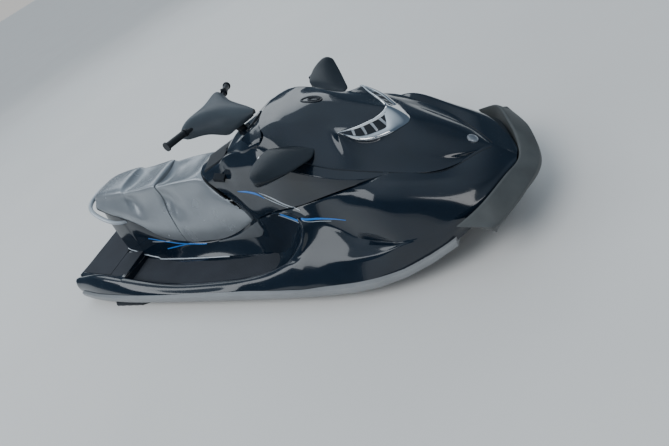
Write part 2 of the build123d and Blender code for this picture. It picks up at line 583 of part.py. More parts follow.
# Lid over the glovebox, and the shift lever beside it
LID_STATIONS = (1468.0, 1662.0)
LID_HALF = 112.0
console_tail = hull_form(TAIL_STATIONS, raised(console_tail_half, SWING_FIT)) + hull_form(
    CONSOLE_STATIONS[:3], raised(console_half, SWING_FIT))
lid_form = hull_form(TAIL_STATIONS, raised(console_tail_half, LID_T)) + hull_form(
    CONSOLE_STATIONS[:3], raised(console_half, LID_T))
glove_lid = (lid_form & block(LID_STATIONS, (-LID_HALF, LID_HALF), (800, 1100))) - console_tail
LID_HINGE = (1662.0, 950.0)
lid_barrel = rod_y(*LID_HINGE, HINGE_R, -60, 60)
glove_lid = max(glove_lid.solids(), key=lambda solid: solid.volume) + lid_barrel
shift_lever = Pos(at(1622, -190, 862)) * Rot(18, 24, 0) * Box(62, 40, 26) - hull_form(
    CONSOLE_STATIONS[:3], raised(console_half, SEAT_FIT)) - console_tail
shift_lever = max(shift_lever.solids(), key=lambda solid: solid.volume)

# Seats: saddles over the pedestal
SEAT_NOSE_AT = SEAT_NOSE[-2][0]
SEAT_JOIN = 1040.0
SEAT_LOW = Line((380, 142, 752), (560, 172, 705), (654, 180, 680), (782, 192, 545), (1028, 206, 440),
                (1275, 208, 424), (SEAT_NOSE_AT, 206, 545))
SEAT_SIDE = Line((380, 128, 806), (460, 160, 785), (560, 176, 766), (700, 184, 740), (830, 182, 690),
                 (960, 190, 660), (1300, 196, 640), (1420, 190, 670), (SEAT_NOSE_AT, 200, 620))
SEAT_EDGE = Line((380, 100, 832), (520, 126, 860), (700, 134, 866), (728, 134, 862), (750, 132, 842),
                 (860, 134, 846), (960, 136, 856), (SEAT_JOIN - 2, 134, 852), (SEAT_JOIN + 2, 130, 828),
                 (1130, 134, 846), (1300, 130, 850), (1420, 122, 812), (SEAT_NOSE_AT, 140, 780))
SEAT_TOP = Line((380, 0, 838), (520, 0, 872), (620, 0, 886), (728, 0, 884), (750, 0, 856), (790, 0, 838),
                (860, 0, 846), (960, 0, 866), (SEAT_JOIN - 2, 0, 864), (SEAT_JOIN + 2, 0, 812),
                (1130, 0, 812), (1210, 0, 826), (1300, 0, 842), (1372, 0, 858), (SEAT_NOSE_AT, 0, 880))
SEAT_PITCH = 5.0


def seat_half(s):
    return [(0, SEAT_LOW(s)[1]), SEAT_LOW(s), SEAT_SIDE(s), SEAT_EDGE(s), SEAT_TOP(s)]


REAR_STATIONS = [385, 440, 520, 620, 700, 728, 752, 800, 860, 960, SEAT_JOIN - SEAT_PITCH / 2]
FRONT_STATIONS = [SEAT_JOIN + SEAT_PITCH / 2, 1075, 1130, 1210, 1300, 1400, 1475, 1560, SEAT_NOSE_AT]
seat_rear = hull_form(REAR_STATIONS, seat_half) - in_seat - deck
seat_front = hull_form(FRONT_STATIONS, seat_half) - in_seat
ahead_nose = side_prism(SEAT_NOSE + [(1656, 300), (2000, 300), (2000, 1300), (1400, 1300)], -400, 400)
seat_front = seat_front - ahead_nose - deck
seat_front = max(seat_front.solids(), key=lambda solid: solid.volume)
seat_rear = max(seat_rear.solids(), key=lambda solid: solid.volume)

# Grab handle behind the rear seat
HANDLE_R = 14.0
HANDLE = [(612, -140, 640), (560, -194, 668), (450, -198, 732), (352, -150, 792), (318, 0, 812)]
handle_path = Spline(*[at(*p) for p in HANDLE], *[at(s, -y, h) for s, y, h in reversed(HANDLE[:-1])])
handle_face = Plane(origin=handle_path @ 0, z_dir=handle_path % 0) * Circle(HANDLE_R)
handle = sweep(handle_face, path=handle_path) - deck
handle = max(handle.solids(), key=lambda solid: solid.volume)

# Mats
mats = {}
for side in (1, -1):
    mat = footwell(side, 5.0, FLOOR_H, FLOOR_H + MAT_T) - in_seat
    mats[side] = max(mat.solids(), key=lambda solid: solid.volume)
platform_mat = plan_prism(both_sides([(385, 415), (30, 362)]), PLATFORM_H, PLATFORM_H + MAT_T)

# Sponsons on the hull's sides
SPONSON = (360.0, 780.0)
SPONSON_OUT = 548.0
SPONSON_HALF = [(430, 180), (SPONSON_OUT - 8, 178), (SPONSON_OUT, 186), (SPONSON_OUT, 232),
                (SPONSON_OUT - 10, 246), (450, 262)]
sponson_full = {}
for side in (1, -1):
    rows = [(SPONSON[0], 0.92), (SPONSON[0] + 40, 1.0), (SPONSON[1] - 120, 1.0), (SPONSON[1], 0.93)]
    raw = loft([make_face(Polyline(*[at(s, side * y * k, h) for y, h in SPONSON_HALF], close=True))
                for s, k in rows], ruled=True) - hull
    slot = sorted((side * (SPONSON_OUT - 8), side * (SPONSON_OUT + 10)))
    for s in spaced(SPONSON[0] + 50, SPONSON[1] - 90, 4):
        raw = raw - block((s, s + 34), slot, (198, 222))
    sponson_full[side] = max(raw.solids(), key=lambda solid: solid.volume)

# Intake grate and ride plate
GRATE_BARS = 5
BAR_T = 8.0
grate_half = DUCT_HALF - SEAT_FIT
grate_from, grate_to = DUCT_START + 8, DUCT_END - 60
grate = block((grate_from, grate_to), (-grate_half, grate_half), (4, 18)) - block(
    (grate_from + 14, grate_to - 14), (-grate_half + 10, grate_half - 10), (0, 40))
for y in spaced(-grate_half + 5, grate_half - 5, GRATE_BARS + 1)[1:-1]:
    grate = grate + block((grate_from + 7, grate_to - 7), (y - BAR_T / 2, y + BAR_T / 2), (4, 18))
ride_plate = block((60, PUMP_FRONT - 4), (-TUNNEL_HALF + SEAT_FIT, TUNNEL_HALF - SEAT_FIT), (6, 16))

# Jet pump: barrel, cone, hub and straightening vanes, pivot brackets and bucket arms
BARREL_R = DUCT_R + PUMP_WALL
OUTLET_WALL = 6.0
HUB_STATOR = 34.0
STATOR_FRONT = 440.0
STATOR_REAR = 345.0
FLANGE_R = 112.0
PIVOT_HIGH = (82.0, 92.0)
ARM_Y = (98.0, 106.0)
BUCKET_PIVOT = 120.0
ARM_HALF = 14.0


def turned(profile):
    """Ring about the shaft line from station and radius pairs."""
    face = make_face(Polyline(*[at(s, 0, SHAFT_H + r) for s, r in profile], close=True))
    return revolve(face, Axis(at(0, 0, SHAFT_H), (1, 0, 0)))


BARREL_FRONT = PUMP_FRONT - SEAT_FIT
SHAFT_BORE = SHAFT_R + BEARING_FIT
housing = turned([(BARREL_FRONT, DUCT_R), (BARREL_FRONT, FLANGE_R), (PUMP_FRONT - 10, FLANGE_R),
                  (PUMP_FRONT - 10, BARREL_R), (PUMP_REAR, BARREL_R), (CONE_REAR, OUTLET_R + OUTLET_WALL),
                  (CONE_REAR, OUTLET_R), (PUMP_REAR, DUCT_R)])
hub = turned([(STATOR_FRONT, SHAFT_R + 1), (STATOR_FRONT, HUB_STATOR), (STATOR_REAR, HUB_STATOR), (250, 8),
              (250, 0), (STATOR_REAR, 0), (STATOR_REAR, SHAFT_BORE), (STATOR_FRONT - 20, SHAFT_BORE)])


def blade(station, radius_in, radius_out, length, thick, pitch_in, pitch_out, count):
    """Twisted blades between two radii; pitch is the angle from the shaft line."""
    faces = []
    for r, pitch in ((radius_in, pitch_in), ((radius_in + radius_out) / 2, (pitch_in + pitch_out) / 2),
                     (radius_out, pitch_out)):
        plane = Plane(origin=at(station, 0, SHAFT_H + r), x_dir=(cos(radians(pitch)), sin(radians(pitch)), 0),
                      z_dir=(0, 0, 1))
        faces.append(plane * Rectangle(length / cos(radians(pitch)) if pitch < 45 else length * 1.2, thick))
    one = loft(faces, ruled=True)
    axis = Axis(at(0, 0, SHAFT_H), (1, 0, 0))
    return [one.rotate(axis, 360 / count * i) for i in range(count)]


for vane in blade((STATOR_FRONT + STATOR_REAR) / 2, HUB_STATOR - 6, DUCT_R + 5, 80, 5, 18, 10, VANES):
    housing = housing + vane
housing = housing + hub - rod_x(STATOR_REAR, STATOR_FRONT + 5, SHAFT_R + BEARING_FIT, SHAFT_H)
for up in (1, -1):
    low, high = sorted((SHAFT_H + up * PIVOT_HIGH[0], SHAFT_H + up * PIVOT_HIGH[1]))
    bracket = block((NOZZLE_PIVOT - 12, PUMP_REAR + 20), (-14, 14), (low, high))
    pivot = Pos(at(NOZZLE_PIVOT, 0, (low + high) / 2))
    housing = housing + bracket + pivot * Cylinder(16, high - low)
    housing = housing - pivot * Cylinder(PIVOT_R + BEARING_FIT, 30)
    arm = block((BUCKET_PIVOT, PUMP_REAR + 40), sorted((up * ARM_Y[0], up * ARM_Y[1])),
                (SHAFT_H - ARM_HALF, SHAFT_H + ARM_HALF))
    arm = arm + block((PUMP_REAR + 6, PUMP_REAR + 40), sorted((up * 86, up * ARM_Y[1])),
                      (SHAFT_H - ARM_HALF, SHAFT_H + ARM_HALF))
    arm = arm + rod_y(BUCKET_PIVOT, SHAFT_H, ARM_HALF, *sorted((up * ARM_Y[0], up * ARM_Y[1])))
    housing = housing + arm
    housing = housing - rod_y(BUCKET_PIVOT, SHAFT_H, PIVOT_R + BEARING_FIT, *sorted((up * 95, up * 115)))
housing = housing - turned([(PUMP_FRONT, 40), (PUMP_FRONT, DUCT_R), (STATOR_FRONT + 12, DUCT_R),
                            (STATOR_FRONT + 12, 40)])

# Impeller and its shaft
IMPELLER_AT = 520.0
impeller = turned([(450, 0), (450, HUB_R), (565, HUB_R), (590, SHAFT_R), (600, 0)])
for one in blade(IMPELLER_AT - 8, HUB_R - 5, DUCT_R - BLADE_CLEAR, 62, 6, 52, 66, BLADES):
    impeller = impeller + one
impeller = impeller & rod_x(440, 610, DUCT_R - BLADE_CLEAR, SHAFT_H)
impeller = impeller + rod_x(STATOR_REAR + 8, SHAFT_END - 2, SHAFT_R, SHAFT_H)

# Steering nozzle on upright pivots, turned with the bar
NOZZLE_FRONT = 203.0
nozzle = turned([(NOZZLE_FRONT, 66), (NOZZLE_FRONT, 66 + NOZZLE_WALL), (150, 60), (NOZZLE_REAR, 53),
                 (NOZZLE_REAR, 45), (150, 52)])
for up in (1, -1):
    low, high = sorted((SHAFT_H + up * 62, SHAFT_H + up * (PIVOT_HIGH[0] - 1)))
    nozzle = nozzle + Pos(at(NOZZLE_PIVOT, 0, (low + high) / 2)) * Cylinder(13, high - low)
    low, high = sorted((SHAFT_H + up * 70, SHAFT_H + up * PIVOT_HIGH[1]))
    nozzle = nozzle + Pos(at(NOZZLE_PIVOT, 0, (low + high) / 2)) * Cylinder(PIVOT_R, high - low)
nozzle = nozzle - turned([(NOZZLE_FRONT + 20, 0), (NOZZLE_FRONT + 20, 66), (NOZZLE_FRONT, 66), (150, 52),
                          (NOZZLE_REAR, 45), (NOZZLE_REAR, 0)])
nozzle = nozzle.rotate(Axis(at(NOZZLE_PIVOT, 0, 0), (0, 0, 1)), STEER_REST * NOZZLE_RATIO)

# Reverse bucket, up at rest
BUCKET_R = 96.0
BUCKET_WALL = 6.0
BUCKET_HALF = 118.0
BUCKET_SPAN = (65.0, 150.0)  # degrees from straight ahead, through up
bucket = rod_y(BUCKET_PIVOT, SHAFT_H, BUCKET_R + BUCKET_WALL, -BUCKET_HALF, BUCKET_HALF)
BUCKET_INSIDE = BUCKET_HALF - BUCKET_WALL
bucket = bucket - rod_y(BUCKET_PIVOT, SHAFT_H, BUCKET_R, -BUCKET_INSIDE, BUCKET_INSIDE)
wedge = [(BUCKET_PIVOT, SHAFT_H)] + [(BUCKET_PIVOT + 200 * cos(radians(a)), SHAFT_H + 200 * sin(radians(a)))
                                     for a in spaced(*BUCKET_SPAN, 4)]
bucket = bucket & side_prism(wedge, -200, 200)
for up in (1, -1):
    inner, outer = up * (BUCKET_HALF - BUCKET_WALL), up * BUCKET_HALF
    bucket = bucket + rod_y(BUCKET_PIVOT, SHAFT_H, 18, *sorted((inner, outer)))
    bucket = bucket + rod_y(BUCKET_PIVOT, SHAFT_H, PIVOT_R, *sorted((up * (ARM_Y[0] + 1), outer)))

# Towing eyes
EYE_R = 12.0
BOW_EYE = (3036.0, 284.0)
eye_link = side_prism([(BOW_EYE[0] - 60, BOW_EYE[1] + 30), (BOW_EYE[0] + 10, BOW_EYE[1] + 22),
                       (BOW_EYE[0] - 8, BOW_EYE[1] - 24), (BOW_EYE[0] - 90, BOW_EYE[1] - 20)], -8, 8)
bow_eye = eye_link + rod_y(*BOW_EYE, 26, -8, 8) - rod_y(*BOW_EYE, EYE_R, -20, 20) - hull
bow_eye = max(bow_eye.solids(), key=lambda solid: solid.volume)
STERN_EYE = (18.0, 270.0, 235.0)
stern_eyes = {}
for side in (1, -1):
    y = side * STERN_EYE[1]
    eye = rod_y(STERN_EYE[0], STERN_EYE[2], 22, y - 7, y + 7) + block((STERN_EYE[0], 45), (y - 7, y + 7),
                                                                   (STERN_EYE[2] - 22, STERN_EYE[2] + 22))
    stern_eyes[side] = eye - rod_y(STERN_EYE[0], STERN_EYE[2], EYE_R, y - 20, y + 20)

engine = block((ENGINE_STATION, ENGINE_STATION + ENGINE_LENGTH), (-ENGINE_HALF, ENGINE_HALF),
               (ENGINE_BOTTOM, ENGINE_BOTTOM + ENGINE_HEIGHT))

PIECES = {
    "hull": hull,
    "deck": deck,
    "rub_rail_port": rail[1],
    "rub_rail_starboard": rail[-1],
    "bow_bumper": bumper,
    "console_cover": console,
    "dash": dash,
    "gauge_glass": gauge,
    "hood": hood,
    "hood_trim": hood_trim,
    "hood_grille": grille,
    "hood_badge": badge,
    "hood_latch": latch,
    "mirror_port": mirrors[1],
    "mirror_starboard": mirrors[-1],
    "mirror_glass_port": glasses[1],
    "mirror_glass_starboard": glasses[-1],
    "steering_column": steered(column),
    "handlebar": steered(bar),
    "handlebar_cowl": steered(cowl),
    "grip_port": steered(grips[1]),
    "grip_starboard": steered(grips[-1]),
    "throttle_lever": steered(lever),
    "switch_box": steered(switch_box),
    "shift_lever": shift_lever,
    "glovebox_lid": glove_lid,
    "seat_front": seat_front,
    "seat_rear": seat_rear,
    "grab_handle": handle,
    "footwell_mat_port": mats[1],
    "footwell_mat_starboard": mats[-1],
    "platform_mat": platform_mat,
    "sponson_port": sponson_full[1],
    "sponson_starboard": sponson_full[-1],
    "intake_grate": grate,
    "ride_plate": ride_plate,
    "pump_housing": housing,
    "impeller": impeller,
    "steering_nozzle": nozzle,
    "reverse_bucket": bucket,
    "bow_eye": bow_eye,
    "stern_eye_port": stern_eyes[1],
    "stern_eye_starboard": stern_eyes[-1],
    "engine_block": engine,
}
for name, shape in PIECES.items():
    write(name, shape)
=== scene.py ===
import bpy
import bmesh
from math import cos, pi, radians, sin
from mathutils import Matrix, Vector
from mathutils.bvhtree import BVHTree


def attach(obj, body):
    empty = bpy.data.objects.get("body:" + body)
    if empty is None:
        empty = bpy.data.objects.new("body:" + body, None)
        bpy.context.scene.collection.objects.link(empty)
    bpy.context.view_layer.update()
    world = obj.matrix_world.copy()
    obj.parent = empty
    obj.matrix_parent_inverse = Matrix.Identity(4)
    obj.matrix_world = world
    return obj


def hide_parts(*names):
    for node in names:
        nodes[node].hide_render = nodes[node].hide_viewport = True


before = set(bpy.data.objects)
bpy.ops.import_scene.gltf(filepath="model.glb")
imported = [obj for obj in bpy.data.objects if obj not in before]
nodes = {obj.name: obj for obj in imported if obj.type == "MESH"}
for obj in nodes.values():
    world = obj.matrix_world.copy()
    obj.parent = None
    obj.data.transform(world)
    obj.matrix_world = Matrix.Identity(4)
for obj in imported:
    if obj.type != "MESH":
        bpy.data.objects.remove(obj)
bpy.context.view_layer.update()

# Stations are measured ahead of the stern, heights above the keel line, both in millimetres as in the CAD;
# MM is the number of millimetres in a metre
MM = 1000.0
HALF_LENGTH = 1610.0
DRAFT = 220.0
# Levels of subdivision, rounds that fit a cage to its points, and the angle above which an edge stays sharp
FINE = 2
CAGE_ROUNDS = 3
SIDES = ((1, "port"), (-1, "starboard"))
SHARP = radians(38)
TINY = 1e-5


def at(s, y, h):
    return Vector(((s - HALF_LENGTH) / MM, y / MM, (h - DRAFT) / MM))


class Line:
    """Fair curves along the craft through the columns of a table led by the station, with no overshoot."""

    def __init__(self, *table):
        self.stations = [row[0] for row in table]
        self.columns = [[row[i] for row in table] for i in range(1, len(table[0]))]

    def __call__(self, s):
        return (s, *(self.value(column, s) for column in self.columns))

    def value(self, column, s):
        xs = self.stations
        last = len(xs) - 2
        i = next((k for k in range(last + 1) if s <= xs[k + 1]), last)
        width = xs[i + 1] - xs[i]
        t = min(max((s - xs[i]) / width, 0.0), 1.0)
        start, end = self.slope(column, i) * width, self.slope(column, i + 1) * width
        rise = column[i + 1] - column[i]
        return column[i] + start * t + (3 * rise - 2 * start - end) * t**2 + (start + end - 2 * rise) * t**3

    def slope(self, column, i):
        xs = self.stations
        spans = [k for k in (i - 1, i) if 0 <= k < len(xs) - 1]
        steps = [(column[k + 1] - column[k]) / (xs[k + 1] - xs[k]) for k in spans]
        if len(steps) == 1:
            return steps[0]
        return 0.0 if steps[0] * steps[1] <= 0 else 2 * steps[0] * steps[1] / (steps[0] + steps[1])


# Camera at the photograph's viewing angle
CAMERA_AT = Vector((1.902, -1.943, 1.780))
CAMERA_AZIMUTH = 37.98
CAMERA_ELEVATION = 35.21
CAMERA_ROLL = -31.09
camera_data = bpy.data.cameras.new("camera")
camera_data.sensor_fit = "HORIZONTAL"
camera_data.sensor_width = 36.0
camera_data.lens = 26.87
camera_data.clip_end = 400.0
camera = bpy.data.objects.new("camera", camera_data)
bpy.context.scene.collection.objects.link(camera)
az, el, roll = radians(CAMERA_AZIMUTH), radians(CAMERA_ELEVATION), radians(CAMERA_ROLL)
back = Vector((sin(az) * cos(el), -cos(az) * cos(el), sin(el)))
right = Vector((cos(az), sin(az), 0))
up = back.cross(right)
right_rolled = cos(roll) * right + sin(roll) * up
up_rolled = cos(roll) * up - sin(roll) * right
turn = Matrix((right_rolled, up_rolled, back)).transposed()
camera.matrix_world = Matrix.Translation(CAMERA_AT) @ turn.to_4x4()
bpy.context.scene.camera = camera


# Mesh helpers
def new_object(name, mesh):
    obj = bpy.data.objects.new(name, mesh)
    bpy.context.scene.collection.objects.link(obj)
    return obj


def shade(mesh, angle=SHARP):
    mesh.shade_smooth()
    mesh.set_sharp_from_angle(angle=angle)


def baked(obj):
    """The object with its modifiers applied, shaded smooth between its sharp edges."""
    depsgraph = bpy.context.evaluated_depsgraph_get()
    mesh = bpy.data.meshes.new_from_object(obj.evaluated_get(depsgraph))
    obj.modifiers.clear()
    old = obj.data
    obj.data = mesh
    bpy.data.meshes.remove(old)
    shade(mesh)
    return obj


def fit_cage(obj):
    """Moves the cage until its subdivision surface passes through the points it was given."""
    goal = [v.co.copy() for v in obj.data.vertices]
    for _ in range(CAGE_ROUNDS):
        depsgraph = bpy.context.evaluated_depsgraph_get()
        depsgraph.update()
        surface = obj.evaluated_get(depsgraph).data
        steps = [want - surface.vertices[i].co for i, want in enumerate(goal)]
        for v, step in zip(obj.data.vertices, steps):
            v.co += step
        obj.data.update()


def build(name, points, faces, creases, level):
    """Subdivision surface through a cage's points; creases maps pairs of vertex numbers to weights."""
    mesh = bpy.data.meshes.new(name)
    bm = bmesh.new()
    verts = [bm.verts.new(p) for p in points]
    bm.verts.ensure_lookup_table()
    for face in faces:
        loop = []
        for i in face:
            if not loop or (verts[i].co - loop[-1].co).length > TINY:
                loop.append(verts[i])
        if len(loop) > 1 and (loop[0].co - loop[-1].co).length < TINY:
            loop.pop()
        if len(loop) > 2:
            bm.faces.new(loop)
    layer = bm.edges.layers.float.new("crease_edge")
    for (a, b), weight in creases.items():
        edge = bm.edges.get((verts[a], verts[b]))
        if edge:
            edge[layer] = weight
    bmesh.ops.remove_doubles(bm, verts=bm.verts, dist=TINY)
    bmesh.ops.delete(bm, geom=[v for v in bm.verts if not v.link_faces], context="VERTS")
    bmesh.ops.recalc_face_normals(bm, faces=bm.faces)
    bm.to_mesh(mesh)
    bm.free()
    obj = new_object(name, mesh)
    if level:
        mod = obj.modifiers.new("smooth", "SUBSURF")
        mod.levels = level
        mod.render_levels = level
        mod.boundary_smooth = "ALL"
        fit_cage(obj)
    return baked(obj)


def skin(name, rows, ridges=None, bands=None, level=None, both=True, side=1, closed=False, caps=False):
    """Cage surface from rows of (station, y, height), each from the centreline outwards.

    ridges maps a column to its crease and bands a row to its crease. With both, the rows are mirrored about
    the centreline. With closed, the last column joins the first one, and caps close both ends.
    """
    level = FINE + 1 if level is None else level
    ridges, bands = ridges or {}, bands or {}
    width = len(rows[0])
    full = []
    for row in rows:
        if both:
            full.append([(s, -y, h) for s, y, h in reversed(row[1:])] + list(row))
        else:
            full.append([(s, side * y, h) for s, y, h in row])
    count = len(full[0])
    column_of = [abs(j - (width - 1)) for j in range(count)] if both else list(range(count))
    points = [at(*p) for row in full for p in row]
    faces, creases = [], {}
    span = count if closed else count - 1
    for i in range(len(full)):
        for j in range(span):
            k = (j + 1) % count
            if i + 1 < len(full):
                faces.append((i * count + j, i * count + k, (i + 1) * count + k, (i + 1) * count + j))
            if i in bands:
                creases[(i * count + j, i * count + k)] = bands[i]
        for j in range(count):
            weight = ridges.get(column_of[j])
            if callable(weight):
                weight = weight(full[i][j][0])
            if weight and i + 1 < len(full):
                creases[(i * count + j, (i + 1) * count + j)] = weight
    if caps:
        faces.append(tuple(range(count)))
        faces.append(tuple(range((len(full) - 1) * count, len(full) * count)))
    return build(name, points, faces, creases, level)


def thicken(obj, thickness):
    mod = obj.modifiers.new("wall", "SOLIDIFY")
    mod.thickness = thickness
    mod.offset = -1.0
    return baked(obj)


def join(name, objects):
    """One object from several, with their meshes appended."""
    bm = bmesh.new()
    for obj in objects:
        bm.from_mesh(obj.data)
    mesh = bpy.data.meshes.new(name)
    bm.to_mesh(mesh)
    bm.free()
    for obj in objects:
        bpy.data.objects.remove(obj)
    shade(mesh)
    return new_object(name, mesh)


def tree_of(*objects):
    bm = bmesh.new()
    for obj in objects:
        bm.from_mesh(obj.data)
    bmesh.ops.triangulate(bm, faces=bm.faces)
    tree = BVHTree.FromBMesh(bm)
    bm.free()
    return tree


# Materials
def add_node(tree, kind, values=None, sources=None):
    """New shader node with its input values set and its inputs linked."""
    node = tree.nodes.new("ShaderNode" + kind)
    for socket, value in (values or {}).items():
        node.inputs[socket].default_value = value
    for socket, source in (sources or {}).items():
        tree.links.new(source, node.inputs[socket])
    return node


def add_relief(tree, height, strength, depth, below):
    """Bump node over the relief that is there already."""
    sources = {"Height": height}
    if below:
        sources["Normal"] = below.outputs["Normal"]
    return add_node(tree, "Bump", {"Strength": strength, "Distance": depth}, sources)


def add_ramp(tree, factor, low, high):
    """Colour ramp between two (position, colour) ends."""
    ramp = add_node(tree, "ValToRGB", sources={"Fac": factor})
    for element, (position, color) in zip(ramp.color_ramp.elements, (low, high)):
        element.position = position
        element.color = (*color, 1)
    return ramp


SPECK_CELLS = 95.0
SPECK_RADIUS = 0.16


def add_drops(tree, place):
    """Height of small drops that stand in patches."""
    cells = add_node(tree, "TexVoronoi", {"Scale": SPECK_CELLS}, {"Vector": place})
    limits = {"From Min": 0.0, "From Max": SPECK_RADIUS, "To Min": 1.0, "To Max": 0.0}
    near = add_node(tree, "MapRange", limits, {"Value": cells.outputs["Distance"]})
    patch = add_node(tree, "TexNoise", {"Scale": 5.0}, {"Vector": place})
    gate = add_node(tree, "MapRange", {"From Min": 0.5, "From Max": 0.62}, {"Value": patch.outputs["Fac"]})
    drops = add_node(tree, "Math")
    drops.operation = "MULTIPLY"
    tree.links.new(near.outputs["Result"], drops.inputs[0])
    tree.links.new(gate.outputs["Result"], drops.inputs[1])
    return drops.outputs["Value"]


def shader(name, color, roughness=0.5, metallic=0.0, coat=0.0, coat_rough=0.03, specular=0.5, grain=0.0,
           grain_size=900.0, vary=0.12, vary_size=9.0, rough_vary=0.05, specks=0.0, ribs=0.0):
    """Principled material whose colour, roughness and relief vary through noise in object space."""
    mat = bpy.data.materials.new(name)
    mat.use_nodes = True
    tree = mat.node_tree
    bsdf = tree.nodes["Principled BSDF"]
    for socket, value in (("Metallic", metallic), ("Specular IOR Level", specular), ("Coat Weight", coat),
                          ("Coat Roughness", coat_rough)):
        bsdf.inputs[socket].default_value = value
    place = add_node(tree, "TexCoord").outputs["Object"]
    noise = add_node(tree, "TexNoise", {"Scale": vary_size, "Detail": 6.0},
                     {"Vector": place}).outputs["Fac"]
    dark, light = ([c * (1 + share) for c in color] for share in (-vary, vary))
    ramp = add_ramp(tree, noise, (0.3, dark), (0.7, light))
    limits = {"To Min": max(roughness - rough_vary, 0.02), "To Max": min(roughness + rough_vary, 1.0)}
    level = add_node(tree, "MapRange", limits, {"Value": noise})
    tree.links.new(ramp.outputs["Color"], bsdf.inputs["Base Color"])
    tree.links.new(level.outputs["Result"], bsdf.inputs["Roughness"])
    top = None
    if grain:
        fine = add_node(tree, "TexNoise", {"Scale": grain_size, "Detail": 3.0}, {"Vector": place})
        top = add_relief(tree, fine.outputs["Fac"], grain, 0.001, top)
    if ribs:
        rows = add_node(tree, "TexWave", {"Scale": ribs / (2 * pi)}, {"Vector": place})
        rows.bands_direction = "X"
        top = add_relief(tree, rows.outputs["Fac"], 0.7, 0.002, top)
    if specks:
        top = add_relief(tree, add_drops(tree, place), specks, 0.002, top)
        tree.links.new(top.outputs["Normal"], bsdf.inputs["Coat Normal"])
    if top:
        tree.links.new(top.outputs["Normal"], bsdf.inputs["Normal"])
    mat.diffuse_color = (*color, 1)
    return mat


MAT = {
    "gloss": shader("gloss", (0.0040, 0.0090, 0.0170), 0.14, coat=0.6, coat_rough=0.02, specular=0.32,
                    specks=0.4, rough_vary=0.03),
    "hull": shader("hull_gloss", (0.006, 0.009, 0.013), 0.22, coat=0.4, coat_rough=0.04, specular=0.3),
    "rail": shader("rail", (0.20, 0.21, 0.22), 0.38, grain=0.15, vary=0.08),
    "bumper": shader("bumper", (0.058, 0.064, 0.066), 0.5, grain=0.35, grain_size=700, vary=0.14,
                     specular=0.35),
    "dark": shader("dark", (0.012, 0.015, 0.020), 0.45, grain=0.3, grain_size=800, specular=0.35),
    "mirror_case": shader("mirror_case", (0.011, 0.017, 0.024), 0.40, grain=0.2, grain_size=900,
                          specular=0.35),
    "seat": shader("seat", (0.29, 0.315, 0.34), 0.26, metallic=0.55, grain=0.35, grain_size=1100,
                   vary=0.06),
    "seat_dark": shader("seat_dark", (0.015, 0.017, 0.020), 0.5, grain=0.3, grain_size=1100, specular=0.35),
    "cowl": shader("cowl", (0.050, 0.064, 0.078), 0.42, grain=0.25, grain_size=900, vary=0.1, specular=0.4),
    "panel": shader("panel", (0.075, 0.083, 0.092), 0.40, grain=0.25, grain_size=900, vary=0.1),
    "mat": shader("mat", (0.030, 0.034, 0.042), 0.75, grain=0.8, grain_size=420, ribs=160.0, specular=0.3),
    "chrome": shader("chrome", (0.86, 0.88, 0.90), 0.07, metallic=1.0, rough_vary=0.02, vary=0.03),
    "satin": shader("satin", (0.60, 0.61, 0.63), 0.3, metallic=1.0, grain=0.1),
    "steel": shader("steel", (0.55, 0.55, 0.56), 0.22, metallic=1.0, vary=0.05),
    "alloy": shader("alloy", (0.30, 0.30, 0.31), 0.45, metallic=0.8, grain=0.3, grain_size=300),
    "mirror": shader("mirror", (0.85, 0.87, 0.9), 0.03, metallic=1.0, rough_vary=0.01, vary=0.02),
    "screen": shader("screen", (0.008, 0.010, 0.013), 0.10, coat=1.0),
    "blue": shader("blue", (0.015, 0.15, 0.50), 0.3, coat=0.5, vary=0.12),
    "silver": shader("silver", (0.42, 0.46, 0.50), 0.3, coat=0.4, metallic=0.3),
}


def paint(obj, key):
    obj.data.materials.clear()
    obj.data.materials.append(MAT[key])


def settle(obj, key, body, slot, *replaced):
    """Gives a piece its material and body, and hides the CAD nodes it stands for; slot is not used."""
    paint(obj, key)
    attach(obj, body)
    if replaced:
        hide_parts(*replaced)


# Lines shared with the CAD: station, half-breadth, height
RAIL = Line((8, 468, 296), (300, 530, 308), (760, 570, 318), (1300, 583, 327), (2020, 588, 334),
            (2350, 574, 342), (2500, 546, 350), (2640, 498, 366), (2750, 452, 394), (2850, 410, 432),
            (3020, 255, 492), (3110, 80, 512))

# Deck, one surface with both footwells
CROWN = Line((8, 425, 398), (300, 452, 432), (560, 480, 408), (760, 500, 386), (1180, 528, 366),
             (1600, 526, 380), (1840, 518, 420), (2000, 508, 478))
deck_rows = []
RIM_WIDTH = 34
SHOULDER = 24


def deck_stern(s, floor, middle):
    """Row of the open stern: three points of the middle, then floor, rim, crown, side and foot."""
    (_, cy, ch), (_, ry, rh) = CROWN(s), RAIL(s)
    inner_rim = cy - RIM_WIDTH
    (y1, h1), (y2, h2), (y3, h3) = middle
    deck_rows.append([(s, 0, max(h1, floor)), (s, y1, h1), (s, y2, h2), (s, y3, h3),
                      (s, (y3 + inner_rim) / 2, floor), (s, inner_rim - 4, floor + 4),
                      (s, inner_rim + 4, ch - 8), (s, cy, ch + 2), (s, cy + SHOULDER, ch - 10),
                      (s, (cy + SHOULDER + ry) / 2 + 8, (ch + rh) / 2), (s, ry, rh)])


PLATFORM = 395
FLOOR = 336
